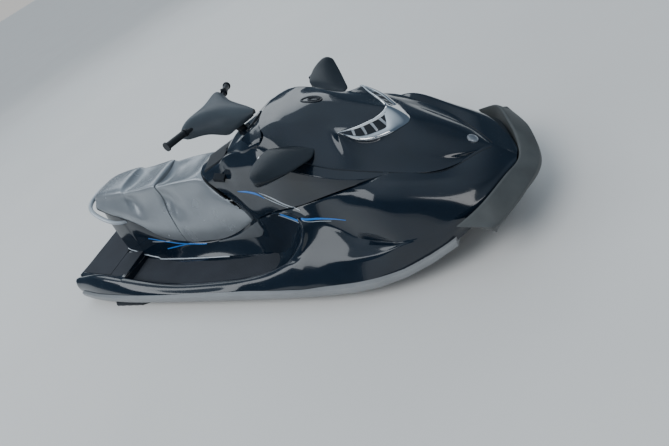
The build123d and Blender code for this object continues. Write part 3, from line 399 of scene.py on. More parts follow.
# Pedestal beside the footwells: station, waist, its height, a point below it, its height, foot, floor
PEDESTAL = (
    (399, 130, PLATFORM, 160, PLATFORM, 192, PLATFORM), (401, 125, 720, 160, 560, 188, PLATFORM),
    (470, 148, 712, 172, 560, 198, PLATFORM), (562, 162, 690, 186, 540, 210, PLATFORM),
    (572, 163, 688, 190, 500, 224, FLOOR), (660, 172, 660, 198, 480, 228, FLOOR),
    (782, 186, 534, 208, 430, 238, FLOOR), (1028, 199, 430, 220, 385, 252, FLOOR),
    (1275, 203, 414, 226, 380, 266, FLOOR), (1500, 206, 470, 232, 410, 276, FLOOR))
(_, cy, _), (_, ry, rh) = CROWN(8), RAIL(8)
deck_rows.append([(10, y, rh) for y in (0, 60, 130, 200, 290, cy - 38, cy - 30, cy, cy + 20, cy + 32, ry)])
for s in (10, 90, 250, 385):
    deck_stern(s, PLATFORM, ((60, PLATFORM), (130, PLATFORM), (200, PLATFORM)))
for s, waist, waist_h, mid, mid_h, foot, floor in PEDESTAL:
    deck_stern(s, floor, ((waist, waist_h), (mid, mid_h), (foot, floor)))
# Front wall of the footwells, from its foot up to the bulge
deck_rows += [
    [(1650, 0, 560), (1655, 214, 545), (1655, 240, 440), (1650, 280, FLOOR), (1640, 380, FLOOR),
     (1640, 486, FLOOR + 4), (1640, 498, 378), (1650, 528, 392), (1650, 552, 380), (1650, 575, 350),
     RAIL(1650)],
    [(1760, 0, 600), (1760, 262, 592), (1770, 276, 480), (1785, 300, 350), (1822, 385, 346),
     (1795, 474, 352), (1800, 494, 406), (1800, 524, 412), (1800, 549, 398), (1790, 578, 358),
     RAIL(1790)],
    [(1850, 0, 640), (1850, 290, 628), (1872, 300, 560), (1935, 330, 480), (1985, 392, 455),
     (1945, 455, 428), (1915, 488, 440), (1915, 515, 444), (1915, 546, 420), (1900, 580, 364),
     RAIL(1900)],
    [(1900, 0, 660), (1900, 302, 648), (1945, 320, 650), (2044, 356, 650), (2104, 396, 618),
     (2086, 446, 548), (2020, 480, 478), (2000, 506, 470), (2000, 542, 434), (1990, 580, 368),
     RAIL(1990)],
    [(1945, 0, 676), (1945, 312, 664), (1985, 330, 668), (2078, 362, 668), (2138, 400, 632),
     (2120, 448, 560), (2078, 484, 496), (2062, 508, 480), (2070, 540, 440), (2070, 580, 372),
     RAIL(2075)],
]
# Bulge, flank and bow: station, then nine (half-breadth, height) pairs from the hood's edge to the side
DECK_BOW = (
    (2200, (326, 712), (338, 708), (356, 668), (378, 618), (392, 596), (424, 560), (464, 512),
     (510, 466), (552, 404)),
    (2340, (346, 752), (360, 748), (382, 672), (402, 588), (416, 558), (446, 530), (478, 500),
     (512, 470), (546, 402)),
    (2440, (346, 772), (366, 770), (410, 690), (430, 570), (432, 520), (458, 508), (482, 492),
     (508, 476), (538, 402)),
    (2560, (318, 796), (366, 792), (426, 730), (456, 610), (460, 519), (476, 510), (489, 501),
     (501, 490), (518, 414)),
    (2655, (284, 772), (356, 772), (420, 710), (456, 610), (474, 530), (480, 525), (484, 520),
     (488, 512), (492, 430)),
    (2740, (250, 732), (330, 732), (388, 686), (424, 610), (444, 540), (448, 520), (450, 506),
     (454, 480), (456, 436)),
    (2850, (180, 672), (284, 683), (340, 650), (378, 600), (402, 550), (408, 530), (410, 512),
     (412, 490), (412, 462)),
    (2950, (94, 652), (232, 640), (284, 620), (322, 588), (346, 560), (350, 545), (350, 528),
     (346, 510), (330, 492)),
    (3030, (26, 614), (170, 594), (200, 588), (228, 582), (252, 574), (258, 562), (256, 545),
     (254, 525), (246, 506)),
    (3112, (4, 545), (14, 547), (24, 548), (34, 548), (44, 547), (52, 545), (58, 542), (64, 530),
     (68, 518)),
)
for s, *rest in DECK_BOW:
    deck_rows.append([(s, 0, rest[0][1] + 2)] + [(s, y, h) for y, h in rest] + [RAIL(min(s, 3110))])


def ledge_crease(s):
    """The folds beside the bulge ahead of the footwell run out at its tip."""
    return 0.75 if 2080 < s < 2655 else 0.0


deck_ridges = {1: 0.8, 2: lambda s: 0.8 if 2180 < s < 2900 else 0.0,
               3: lambda s: 0.6 if s < 2000 else 0.0,
               5: lambda s: 0.6 if s < 1900 else ledge_crease(s), 8: ledge_crease, 10: 1.0}
deck = skin("deck_shell", deck_rows, ridges=deck_ridges,
            bands={0: 1.0, 1: 0.7, 5: 0.9, 6: 0.9, 8: 0.9, 9: 0.9}, level=FINE)
settle(deck, "gloss", "craft", "gelcoat_deck", "deck")

# Hood, rows of (station, half-breadth, height) from its rear edge to its tip; SCOOP and BROW are the vent's
# upper and lower edge
SCOOP = ((2609, 0, 936), (2588, 45, 932), (2540, 102, 942), (2484, 157, 958), (2436, 203, 979))
BROW = ((2690, 0, 845), (2662, 60, 853), (2594, 138, 873), (2523, 196, 912), (2440, 205, 974))
hood_rows = [
    [(1990, 0, 1096), (1993, 48, 1095), (2002, 92, 1092), (2016, 132, 1088), (2046, 184, 1080),
     (2066, 214, 1060), (2034, 232, 1030), (2003, 236, 1018), (2003, 230, 1000)],
    [(2100, 0, 1092), (2102, 50, 1092), (2106, 96, 1091), (2110, 134, 1090), (2114, 168, 1084),
     (2124, 226, 1034), (2120, 262, 985), (2110, 266, 974), (2110, 260, 956)],
    [(2172, 0, 1087), (2172, 50, 1086), (2172, 96, 1083), (2172, 134, 1077), (2172, 167, 1069),
     (2176, 230, 1012), (2178, 280, 958), (2176, 284, 948), (2176, 278, 930)],
    [(2263, 0, 1076), (2263, 50, 1074), (2263, 96, 1066), (2263, 132, 1054), (2263, 162, 1037),
     (2263, 232, 986), (2263, 298, 930), (2263, 301, 921), (2263, 295, 904)],
    [(2380, 0, 1034), (2376, 50, 1030), (2370, 96, 1019), (2364, 130, 1006), (2358, 160, 991),
     (2360, 236, 938), (2360, 308, 890), (2360, 311, 882), (2360, 305, 866)],
    [*SCOOP, (2450, 262, 908), (2450, 306, 858), (2450, 312, 852), (2450, 306, 836)],
    [*BROW, (2478, 260, 898), (2478, 304, 848), (2478, 311, 842), (2478, 305, 826)],
    [(2712, 0, 832), (2690, 60, 838), (2630, 130, 850), (2560, 178, 874), (2520, 214, 890),
     (2530, 262, 858), (2530, 300, 826), (2530, 306, 822), (2530, 300, 806)],
    [(2760, 0, 800), (2750, 56, 803), (2720, 112, 806), (2675, 162, 814), (2650, 200, 812),
     (2636, 250, 800), (2631, 286, 788), (2631, 292, 784), (2631, 286, 768)],
    [(2850, 0, 740), (2846, 46, 742), (2838, 88, 738), (2828, 128, 726), (2800, 164, 724),
     (2790, 206, 716), (2783, 238, 714), (2783, 244, 712), (2783, 236, 698)],
    [(2940, 0, 678), (2938, 34, 678), (2932, 66, 674), (2920, 92, 674), (2905, 108, 668),
     (2895, 126, 664), (2890, 144, 666), (2890, 152, 666), (2890, 144, 652)],
    [(2998, 0, 638), (2996, 14, 638), (2990, 28, 637), (2984, 40, 636), (2978, 46, 635),
     (2974, 50, 634), (2970, 54, 634), (2970, 60, 634), (2968, 54, 620)],
    [(3018, 0, 621), (3018, 3, 621), (3017, 5, 621), (3017, 7, 620), (3016, 9, 620), (3015, 10, 620),
     (3014, 12, 619), (3013, 14, 619), (3012, 10, 606)]]
rear_tuck = [(s + 4, y, h - 26) for s, y, h in hood_rows[0]]
hood = skin("hood_shell", [rear_tuck] + hood_rows, ridges={4: 0.35, 7: 1.0},
            bands={1: 0.9, 6: 0.7, 7: 0.85})
settle(hood, "gloss", "hood", "gelcoat_deck", "hood")
hood_tree = tree_of(hood)


def smooth_line(points, count):
    """Points spaced along a smooth spline through a short list."""
    curve = bpy.data.curves.new("guide", "CURVE")
    curve.dimensions = "3D"
    curve.resolution_u = 12
    spline = curve.splines.new("BEZIER")
    spline.bezier_points.add(len(points) - 1)
    for point, p in zip(spline.bezier_points, points):
        point.co = p
        point.handle_left_type = point.handle_right_type = "AUTO"
    holder = bpy.data.objects.new("guide", curve)
    mesh = bpy.data.meshes.new_from_object(holder)
    line = [v.co.copy() for v in mesh.vertices]
    bpy.data.objects.remove(holder)
    lengths = [0.0]
    for a, b in zip(line[:-1], line[1:]):
        lengths.append(lengths[-1] + (b - a).length)
    out = []
    for k in range(count):
        want = lengths[-1] * k / (count - 1)
        i = next((j for j in range(1, len(lengths) - 1) if lengths[j] >= want), len(lengths) - 1)
        step = lengths[i] - lengths[i - 1]
        out.append(line[i - 1].lerp(line[i], (want - lengths[i - 1]) / step if step else 0.0))
    return out


def mesh_object(name, points, faces, angle):
    mesh = bpy.data.meshes.new(name)
    mesh.from_pydata([tuple(p) for p in points], [], faces)
    bm = bmesh.new()
    bm.from_mesh(mesh)
    bmesh.ops.remove_doubles(bm, verts=bm.verts, dist=1e-6)
    bmesh.ops.recalc_face_normals(bm, faces=bm.faces)
    bm.to_mesh(mesh)
    bm.free()
    shade(mesh, radians(angle))
    return new_object(name, mesh)


def ring_faces(rings, around, closed=False):
    """Faces between neighbouring rings of points, each ring with the same number of them."""
    return [(i * around + j, i * around + (j + 1) % around,
             (i + 1) % rings * around + (j + 1) % around, (i + 1) % rings * around + j)
            for i in range(rings if closed else rings - 1) for j in range(around)]


EDGE_LIFT = 0.45
MIDDLE_LIFT = 1.15


def band(name, left, right, normals, rise, sink=2.0, crown=0.35):
    """Closed raised strip between two lines of points; crown is how much of its width is rounded off."""
    rings = []
    for a, b, n in zip(left, right, normals):
        lift, down = n * rise / MM, n * -sink / MM
        rings.append([a + down, a + lift * EDGE_LIFT, a.lerp(b, crown / 2) + lift,
                      a.lerp(b, 0.5) + lift * MIDDLE_LIFT, a.lerp(b, 1 - crown / 2) + lift,
                      b + lift * EDGE_LIFT, b + down])
    count = len(rings[0])
    faces = ring_faces(len(rings), count)
    faces.append(tuple(range(count)))
    faces.append(tuple(range((len(rings) - 1) * count, len(rings) * count)))
    return mesh_object(name, [p for ring in rings for p in ring], faces, 60)


def stripe(name, tree, points, widths, lift=0.8, count=28, rise=0.6):
    """Thin draped strip whose width runs through a short list along it."""
    middle = smooth_line([at(*p) for p in points], count)
    left, right, normals = [], [], []
    widths = widths if len(widths) > 1 else widths * 2
    for i, p in enumerate(middle):
        hit, normal, _, _ = tree.find_nearest(p)
        ahead = middle[min(i + 1, count - 1)] - middle[max(i - 1, 0)]
        sideways = normal.cross(ahead).normalized()
        place = i / (count - 1) * (len(widths) - 1)
        k = min(int(place), len(widths) - 2)
        half = (widths[k] + (widths[k + 1] - widths[k]) * (place - k)) / 2 / MM
        for sign, line in ((-1, left), (1, right)):
            near, n, _, _ = tree.find_nearest(hit + sideways * half * sign)
            line.append(near + n * lift / MM)
        normals.append(normal)
    return band(name, left, right, normals, rise, lift + 0.6)


# Vent on the hood: bright brow below, bright lip above, blades over a dark grille between them
VENT_MIDDLE = 30
VENT_POINTS = 2 * VENT_MIDDLE + 1
BROW_NOSE, BROW_TAPER, BROW_ARM = 0.10, 3.4, 0.34
# Shares of the vent's width, from its upper edge
LIP_TO = 0.10
BLADE_FROM, BLADE_TO = 0.12, 0.62
GRILLE_FROM, GRILLE_TO = 0.06, 0.74


def across_bow(points):
    """Smooth line over both sides of the craft from its starboard half."""
    starboard = [at(s, -y, h) for s, y, h in reversed(points)]
    return smooth_line(starboard + [at(*p) for p in points[1:]], VENT_POINTS)


vent_outer, vent_inner = across_bow(BROW), across_bow(SCOOP)
vent_normals = []
for i, (a, b) in enumerate(zip(vent_inner, vent_outer)):
    ahead = vent_outer[min(i + 1, VENT_POINTS - 1)] - vent_outer[max(i - 1, 0)]
    across_vent = b - a if (b - a).length > 1e-4 else Vector((1, 0, -1))
    normal = across_vent.cross(ahead).normalized()
    vent_normals.append(normal if normal.z > 0 else -normal)


def brow_share(i):
    """Share of the vent that the lower brow takes: all at the nose, a third on the arms."""
    u = abs(i - VENT_MIDDLE) / VENT_MIDDLE
    return min(max(1.05 - BROW_TAPER * max(u - BROW_NOSE, 0.0), BROW_ARM), 1.0)


brow_edge = [b.lerp(a, brow_share(i)) for i, (a, b) in enumerate(zip(vent_inner, vent_outer))]
brow = band("brow", brow_edge, vent_outer, vent_normals, 7.0, 3.0)
lip_edge = [a.lerp(b, LIP_TO) for a, b in zip(vent_inner, vent_outer)]
lip_back = [a + Vector((-0.007, 0, 0.002)) for a in vent_inner]
lip = band("lip", lip_back, lip_edge, vent_normals, 5.0, 3.0)
hood_trim = join("vent_trim", [brow, lip])
settle(hood_trim, "chrome", "hood", "bright_trim", "hood_trim")
BLADES, FIRST_BLADE, BLADE_STEP = 4, 7, 5
blades = []
for side in (1, -1):
    for k in range(BLADES):
        i = VENT_MIDDLE + side * (FIRST_BLADE + BLADE_STEP * k)
        a, b, n = vent_inner[i], vent_outer[i], vent_normals[i]
        along = (vent_outer[i + side] - vent_outer[i]).normalized() * 0.009
        left, right = a.lerp(b, BLADE_FROM), a.lerp(b, BLADE_TO)
        ends = [left, left + along * 1.6], [right + along, right + along * 2.2]
        blades.append(band("blade", *ends, [n, n], 3.0, 2.0))
settle(join("vent_blades", blades), "satin", "hood", "bright_trim")
grille_sides = [[a.lerp(b, share) for a, b in zip(vent_inner[2:-2], vent_outer[2:-2])]
                for share in (GRILLE_FROM, GRILLE_TO)]
grille = band("vent_grille", *grille_sides, vent_normals[2:-2], 1.2, 1.5)
settle(grille, "dark", "hood", "dark_plastic", "hood_grille")


DISC_SIDES = 40


def disc(name, tree, centre, radius, profile):
    """Turned form standing on a surface; profile is (share of the radius, height) from the middle out."""
    count = DISC_SIDES
    origin, normal, _, _ = tree.find_nearest(at(*centre))
    side = normal.cross(Vector((0, 1, 0))).normalized()
    ahead = normal.cross(side)
    points = [origin + normal * profile[0][1] / MM]
    for share, height in profile[1:]:
        for k in range(count):
            angle = 2 * pi * k / count
            rim = (side * cos(angle) + ahead * sin(angle)) * share * radius / MM
            points.append(origin + rim + normal * height / MM)
    faces = [(0, 1 + k, 1 + (k + 1) % count) for k in range(count)]
    for ring in range(len(profile) - 2):
        first = 1 + ring * count
        faces += [(first + k, first + (k + 1) % count, first + count + (k + 1) % count, first + count + k)
                  for k in range(count)]
    return mesh_object(name, points, faces, 40)


BADGE_PROFILE = ((0, 5.5), (0.5, 5.2), (0.72, 4.4), (0.76, 3.2), (0.84, 3.2), (0.88, 5.0), (0.98, 4.4),
                 (1.0, 2.0), (1.0, -4.0))
badge = disc("nose_badge", hood_tree, (2940, 0, 676), 27, BADGE_PROFILE)
settle(badge, "satin", "hood", "satin_metal", "hood_badge")


OVAL_SIDES = 48
OVAL_ROUND = 8
OVAL_LIFT = 0.5


def oval_ring(name, tree, centre, length, width, thick, rise):
    """Rounded ring, longer along the craft, that lies on a surface."""
    count, around = OVAL_SIDES, OVAL_ROUND
    points = []
    for k in range(count):
        angle = 2 * pi * k / count
        p = at(*centre) + Vector((cos(angle) * length / 2 / MM, sin(angle) * width / 2 / MM, 0))
        hit, n, _, _ = tree.ray_cast(Vector((p.x, p.y, 3.0)), Vector((0, 0, -1)))
        out = Vector((cos(angle), sin(angle), 0))
        for j in range(around):
            roll_angle = 2 * pi * j / around
            height = (OVAL_LIFT + rise * sin(roll_angle)) / MM
            points.append(hit + n * height + out * thick / 2 / MM * cos(roll_angle))
    faces = ring_faces(count, around, True)
    return mesh_object(name, points, faces, 60)


latch_ring = oval_ring("ring", hood_tree, (2263, 0, 1076), 104, 48, 12, 4.0)
latch_grip = oval_ring("grip", hood_tree, (2276, 0, 1075), 54, 26, 10, 5.0)
latch = join("hood_catch", [latch_ring, latch_grip])
settle(latch, "dark", "hood", "dark_plastic", "hood_latch")

# Console between seat, hood and deck
console_rows = [
    [(1405, 0, 872), (1410, 60, 868), (1424, 108, 846), (1470, 140, 812), (1540, 168, 752),
     (1606, 196, 690), (1650, 214, 600), (1652, 212, 545), (1650, 192, 535)],
    [(1500, 0, 902), (1502, 66, 898), (1512, 122, 876), (1556, 152, 842), (1622, 190, 782),
     (1676, 222, 706), (1704, 242, 640), (1712, 246, 580), (1712, 220, 570)],
    [(1600, 0, 926), (1600, 74, 922), (1616, 138, 908), (1650, 168, 878), (1690, 206, 800),
     (1734, 238, 718), (1760, 258, 656), (1768, 266, 602), (1768, 236, 592)],
    [(1700, 0, 952), (1700, 80, 950), (1704, 154, 960), (1730, 196, 910), (1780, 232, 826),
     (1820, 256, 738), (1840, 276, 682), (1848, 282, 634), (1848, 252, 624)],
    [(1850, 0, 985), (1850, 100, 984), (1852, 188, 990), (1868, 240, 930), (1894, 262, 858),
     (1920, 282, 774), (1934, 298, 716), (1944, 306, 668), (1944, 276, 658)],
    [(1985, 0, 1006), (1985, 110, 1008), (1996, 232, 1014), (1992, 282, 946), (2004, 292, 892),
     (2022, 306, 808), (2030, 318, 746), (2040, 326, 690), (2040, 296, 680)],
    [(2100, 0, 975), (2100, 120, 975), (2104, 263, 976), (2106, 306, 924), (2112, 318, 870),
     (2124, 328, 800), (2132, 334, 752), (2140, 338, 708), (2140, 308, 698)],
    [(2263, 0, 914), (2263, 130, 914), (2263, 298, 920), (2263, 340, 884), (2264, 348, 848),
     (2268, 350, 800), (2272, 350, 772), (2276, 350, 744), (2276, 318, 732)],
    [(2380, 0, 870), (2380, 130, 870), (2380, 310, 876), (2380, 357, 852), (2380, 360, 832),
     (2382, 361, 808), (2384, 361, 792), (2386, 361, 774), (2386, 328, 764)],
    [(2520, 0, 820), (2520, 130, 820), (2520, 304, 828), (2522, 350, 814), (2524, 352, 810),
     (2526, 352, 804), (2528, 352, 800), (2530, 350, 794), (2530, 320, 784)],
    [(2631, 0, 776), (2631, 130, 776), (2631, 290, 784), (2634, 296, 784), (2635, 298, 783),
     (2636, 298, 782), (2637, 298, 781), (2637, 298, 779), (2637, 288, 770)],
]
console = skin("console_shell", console_rows, ridges={2: 0.85, 3: 0.7, 4: 0.5, 7: 1.0}, bands={0: 1.0})
settle(console, "gloss", "craft", "gelcoat_deck", "console_cover")

# Dash panel that fills the hood's open rear end, with the gauge's hooded opening
dash_rows = [
    [(1700, 0, 976), (1700, 60, 974), (1702, 104, 964), (1704, 114, 950), (1704, 114, 930)],
    [(1765, 0, 1014), (1768, 62, 1010), (1776, 126, 992), (1780, 150, 966), (1780, 150, 944)],
    [(1850, 0, 1026), (1852, 74, 1026), (1862, 140, 1032), (1872, 196, 1002), (1872, 200, 964)],
    [(1930, 0, 1060), (1936, 76, 1062), (1950, 146, 1068), (1966, 214, 1030), (1966, 218, 990)],
    [(1988, 0, 1088), (1996, 76, 1084), (2012, 138, 1076), (2036, 196, 1056), (2010, 224, 1012)],
    [(2002, 0, 1070), (2010, 76, 1066), (2026, 138, 1058), (2046, 190, 1040), (2022, 218, 1000)]]
dash = skin("dash_panel", dash_rows, ridges={2: 0.5, 4: 1.0}, bands={0: 1.0, 4: 0.8})
settle(dash, "gloss", "craft", "dark_plastic", "dash")
dash_tree = tree_of(dash)
GAUGE_AT = (1886, 0, 1040)
GAUGE_SQUASH = 0.72
GAUGE_PROFILE = ((0, 3.0), (0.70, 2.0), (0.80, 2.2), (0.86, 6.0), (0.94, 7.0), (1.0, 4.0), (1.0, -6.0))
gauge_cup = disc("gauge_cup", dash_tree, GAUGE_AT, 78, GAUGE_PROFILE)
for v in gauge_cup.data.vertices:
    v.co.x = at(*GAUGE_AT).x + (v.co.x - at(*GAUGE_AT).x) * GAUGE_SQUASH
settle(gauge_cup, "screen", "craft", "dark_glass", "gauge_glass")

# Column turn shared by everything on the bar
TILT = radians(40.0)
STEER_REST = radians(10.0)
COLUMN_AT = at(1700, 0, 1130)
COLUMN_AXIS = Vector((-sin(TILT), 0, cos(TILT)))
STEERED = Matrix.Translation(COLUMN_AT) @ Matrix.Rotation(STEER_REST, 4, COLUMN_AXIS)
STEERED = STEERED @ Matrix.Translation(-COLUMN_AT)
# Cowl over the bar, from its rear edge to its point
cowl_rows = [
    [(1606, 0, 1168), (1604, 90, 1170), (1598, 170, 1172), (1592, 214, 1164), (1590, 232, 1146),
     (1596, 214, 1128)],
    [(1640, 0, 1198), (1638, 88, 1202), (1632, 168, 1204), (1628, 216, 1190), (1628, 240, 1158),
     (1636, 222, 1120)],
    [(1690, 0, 1200), (1688, 74, 1200), (1684, 132, 1194), (1680, 172, 1172), (1682, 190, 1136),
     (1696, 158, 1094)],
    [(1750, 0, 1180), (1748, 54, 1176), (1746, 92, 1162), (1744, 116, 1132), (1746, 122, 1090),
     (1752, 104, 1042)],
    [(1810, 0, 1152), (1808, 38, 1147), (1806, 64, 1132), (1802, 80, 1106), (1798, 86, 1074),
     (1794, 80, 1046)],
    [(1865, 0, 1122), (1864, 24, 1118), (1862, 40, 1108), (1860, 50, 1092), (1856, 54, 1075),
     (1850, 50, 1056)],
    [(1908, 0, 1096), (1907, 8, 1094), (1905, 14, 1091), (1904, 18, 1084), (1902, 18, 1076),
     (1898, 16, 1068)]]
cowl = skin("bar_cowl", cowl_rows, ridges={5: 1.0, 3: 0.25}, bands={0: 0.9})
thicken(cowl, 0.004)
cowl.data.transform(STEERED)
settle(cowl, "cowl", "steering", "cowl_grey", "handlebar_cowl")

# Mirrors: half-breadth, rear station, front station, top, bottom and front height
MIRROR = ((240, 2200, 2300, 985, 945, 955), (262, 2158, 2312, 1006, 940, 947),
          (286, 2126, 2312, 1024, 938, 944), (314, 2110, 2304, 1036, 938, 944),
          (384, 2104, 2266, 1045, 944, 958), (440, 2106, 2236, 1050, 952, 974),
          (498, 2122, 2202, 1053, 972, 998), (530, 2138, 2182, 1048, 1000, 1018),
          (541, 2150, 2170, 1038, 1018, 1026))
MIRROR_SHARES = (0.06, 0.45, 0.85)
for side, hand in SIDES:
    rows = []
    for y, rear, front, top, low, nose in MIRROR:
        second, middle, fifth = (rear + (front - rear) * share for share in MIRROR_SHARES)
        rows.append([(rear, y, top - 6), (second, y, top), (middle, y, top * 0.75 + nose * 0.25),
                     (fifth, y, nose + (top - nose) * 0.24), (front, y, nose),
                     (fifth, y, nose - (nose - low) * 0.35 - 4), (middle, y, low + 3), (second, y, low),
                     (rear, y, low + 6)])
    shell = skin(f"mirror_shell_{hand}", rows, ridges={0: 0.7, 8: 0.7}, both=False, side=side, closed=True,
                 caps=True)
    settle(shell, "mirror_case", "hood", "mirror_shell", f"mirror_{hand}")

# Bow bumper from the stem to its slanted end: inner edge, chamfer, flat band, outer edge, foot, inner foot
BUMPER = (
    ((3119, 0, 540), (3129, 0, 545), (3165, 0, 530), (3203, 0, 508), (3209, 0, 494), (3203, 0, 472),
     (3150, 0, 436), (3112, 0, 470)),
    ((3094, 135, 572), (3105, 141, 576), (3136, 152, 556), (3167, 182, 524), (3168, 184, 512),
     (3156, 174, 486), (3110, 148, 430), (3082, 134, 470)),
    ((3061, 225, 586), (3072, 233, 589), (3098, 254, 562), (3130, 282, 528), (3131, 284, 514),
     (3112, 266, 488), (3060, 236, 424), (3042, 222, 470)),
    ((3013, 345, 598), (3022, 353, 600), (3043, 370, 570), (3072, 390, 524), (3072, 392, 512),
     (3058, 380, 486), (3008, 346, 428), (2990, 334, 470)),
    ((2952, 405, 578), (2962, 412, 579), (2998, 418, 560), (3052, 420, 528), (3053, 421, 516),
     (3046, 400, 482), (3018, 368, 440), (2984, 352, 480)),
    ((2890, 440, 551), (2900, 443, 552), (2960, 446, 545), (3032, 446, 534), (3034, 446, 524),
     (3036, 420, 480), (3030, 392, 448), (2960, 380, 490)))
starboard_rows = [[(s, -y, h) for s, y, h in section] for section in reversed(BUMPER)]
port_rows = [list(section) for section in BUMPER[1:]]
bumper = skin("bow_guard", starboard_rows + port_rows, ridges={0: 0.8, 1: 0.8, 3: 0.85, 4: 0.4, 6: 0.5},
              bands={0: 0.9, 10: 0.9}, both=False, closed=True, caps=True)
settle(bumper, "bumper", "craft", "bumper", "bow_bumper")

# Seats, two padded parts with three tiers. Top: station, centre height, edge half-breadth and height; hem:
# station, half-breadth, height
SEAT_TOP = Line((372, 812, 66, 806), (378, 838, 96, 832), (430, 858, 112, 852), (520, 874, 122, 866),
                (620, 884, 132, 870), (700, 886, 134, 872), (724, 880, 134, 870), (744, 850, 132, 858),
                (775, 836, 131, 856), (860, 846, 134, 858), (960, 862, 136, 864), (1010, 867, 136, 867),
                (1030, 860, 136, 864), (1046, 826, 133, 854), (1076, 812, 132, 850),
                (1140, 818, 133, 853), (1210, 830, 134, 856), (1310, 844, 134, 856))
SEAT_HEM = Line((372, 104, 764), (378, 134, 762), (430, 148, 742), (520, 166, 712), (620, 182, 680),
                (700, 192, 636), (748, 195, 596), (790, 198, 540), (860, 204, 492), (960, 208, 456),
                (1037, 210, 441), (1130, 214, 430), (1310, 214, 428))
# Folds that run down the side from each step of the top, as (height, station) pairs
SEAT_FOLDS = (((846, 706), (763, 726), (690, 756)),
              ((846, 1006), (783, 1012), (729, 1038), (668, 1073), (620, 1130)))
FOLD_DEPTH = 17.0
FOLD_RISE = 30.0
FOLD_RUN = 190.0
EDGE_DROP = 20
HEM_RISE = 16


def fold_depth(s, h):
    """How far the side is pulled in just ahead of a fold, fading forward and towards both ends of it."""
    depth = 0.0
    for fold in SEAT_FOLDS:
        top, low = fold[0][0], fold[-1][0]
        k = next((i for i in range(len(fold) - 1) if h >= fold[i + 1][0]), len(fold) - 2)
        (h1, s1), (h2, s2) = fold[k], fold[k + 1]
        ahead = s - (s1 + (s2 - s1) * (h1 - h) / (h1 - h2))
        if ahead <= 0 or ahead >= FOLD_RUN or h <= low:
            continue
        share = ahead / FOLD_RISE if ahead < FOLD_RISE else 1 - (ahead - FOLD_RISE) / (FOLD_RUN - FOLD_RISE)
        fade = min(1.0, (h - low) / 60) * min(1.0, max(top + 30 - h, 0.0) / 50)
        depth = max(depth, share * share * (3 - 2 * share) * fade)
    return depth * FOLD_DEPTH


def seat_row(s, inset=0.0):
    """Half section of the seat: dished top, rounded edge, side that flares to the hem, hem tucked under."""
    _, top, edge, edge_h = SEAT_TOP(s)
    _, low, low_h = SEAT_HEM(s)
    row = [(s, edge * u, top + (edge_h - top) * u * u) for u in (0.0, 0.4, 0.72)]
    row += [(s, edge * 0.91, edge_h - 4), (s, edge, edge_h - EDGE_DROP)]
    fall = edge_h - EDGE_DROP - low_h - HEM_RISE
    for share in (0.18, 0.38, 0.60, 0.82):
        h = edge_h - EDGE_DROP - fall * share
        flare = sin(pi / 2 * share ** 0.85) ** 2
        row.append((s, edge + 3 + (low - edge - 3) * flare - fold_depth(s, h), h))
    row += [(s, low, low_h + 14), (s, low - 4, low_h), (s, low - 40, low_h + 4)]
    return [(s, max(y - inset, 0.0), h - inset * (h > 600)) for s, y, h in row]


REAR_AT = (386, 420, 464, 520, 600, 660, 700, 722, 740, 766, 800, 850, 910, 970, 1008, 1026)
FRONT_AT = (1050, 1068, 1092, 1120, 1150, 1190, 1240, 1300)
# Rows of the front seat's nose, each from the centreline down to the hem
NOSE = (
    ((1372, 0, 860), (1374, 52, 860), (1379, 92, 859), (1385, 118, 852), (1390, 132, 838),
     (1396, 142, 800), (1401, 156, 752), (1408, 178, 690), (1414, 202, 580), (1420, 214, 464),
     (1420, 210, 450), (1420, 170, 454)),
    ((1394, 0, 858), (1398, 50, 858), (1407, 88, 856), (1424, 112, 842), (1438, 126, 822),
     (1458, 142, 786), (1484, 160, 746), (1514, 180, 696), (1542, 200, 620), (1560, 212, 514),
     (1560, 208, 500), (1560, 168, 504)),
    ((1403, 0, 850), (1407, 50, 850), (1418, 88, 846), (1436, 110, 830), (1452, 124, 808),
     (1478, 140, 772), (1512, 157, 734), (1554, 174, 692), (1606, 192, 640), (1664, 206, 566),
     (1656, 202, 546), (1640, 166, 540)),
    ((1400, 0, 824), (1404, 46, 824), (1416, 80, 818), (1432, 100, 802), (1448, 113, 782),
     (1474, 128, 748), (1506, 144, 712), (1546, 160, 672), (1592, 178, 624), (1642, 192, 564),
     (1638, 188, 546), (1620, 160, 540)))
rear_rows = [seat_row(376, 40), seat_row(377, 16), *map(seat_row, REAR_AT), seat_row(1036),
             seat_row(1037, 60)]
front_rows = [seat_row(1040, 60), seat_row(1041), *map(seat_row, FRONT_AT), *map(list, NOSE)]
rear_pad = skin("seat_pad_rear", rear_rows, ridges={10: 0.8}, bands={9: 0.55, 18: 0.8}, level=FINE)
front_pad = skin("seat_pad_front", front_rows, ridges={10: 0.8}, bands={1: 0.8, len(front_rows) - 2: 0.75},
                 level=FINE)
settle(rear_pad, "seat", "seat_rear", "seat_vinyl", "seat_rear")
settle(front_pad, "seat", "craft", "seat_vinyl", "seat_front")

# Black welts round the front edge of the front seat and the rear edge of the rear one
seat_tree = tree_of(rear_pad, front_pad)


def welt(name, key, body, tree, points, width, rise, slot):
    """Thin raised cord along a short list of points on a surface, on both sides of the craft."""
    strips = [stripe(name, tree, [(s, side * y, h) for s, y, h in points], (width,), 0.3, 40, rise)
              for side in (1, -1)]
    settle(join(name, strips), key, body, slot)


FRONT_EDGE = ((1400, 60, 850), (1412, 96, 842), (1440, 124, 812), (1500, 156, 744), (1590, 186, 664),
              (1664, 205, 566))
REAR_EDGE = ((376, 60, 790), (392, 122, 778), (440, 146, 750), (520, 164, 716), (620, 180, 686),
             (700, 190, 642))
welt("seat_front_welt", "seat_dark", "craft", seat_tree, FRONT_EDGE, 14, 3.0, "seat_vinyl")
welt("seat_rear_welt", "seat_dark", "seat_rear", seat_tree, REAR_EDGE, 12, 3.0, "seat_vinyl")
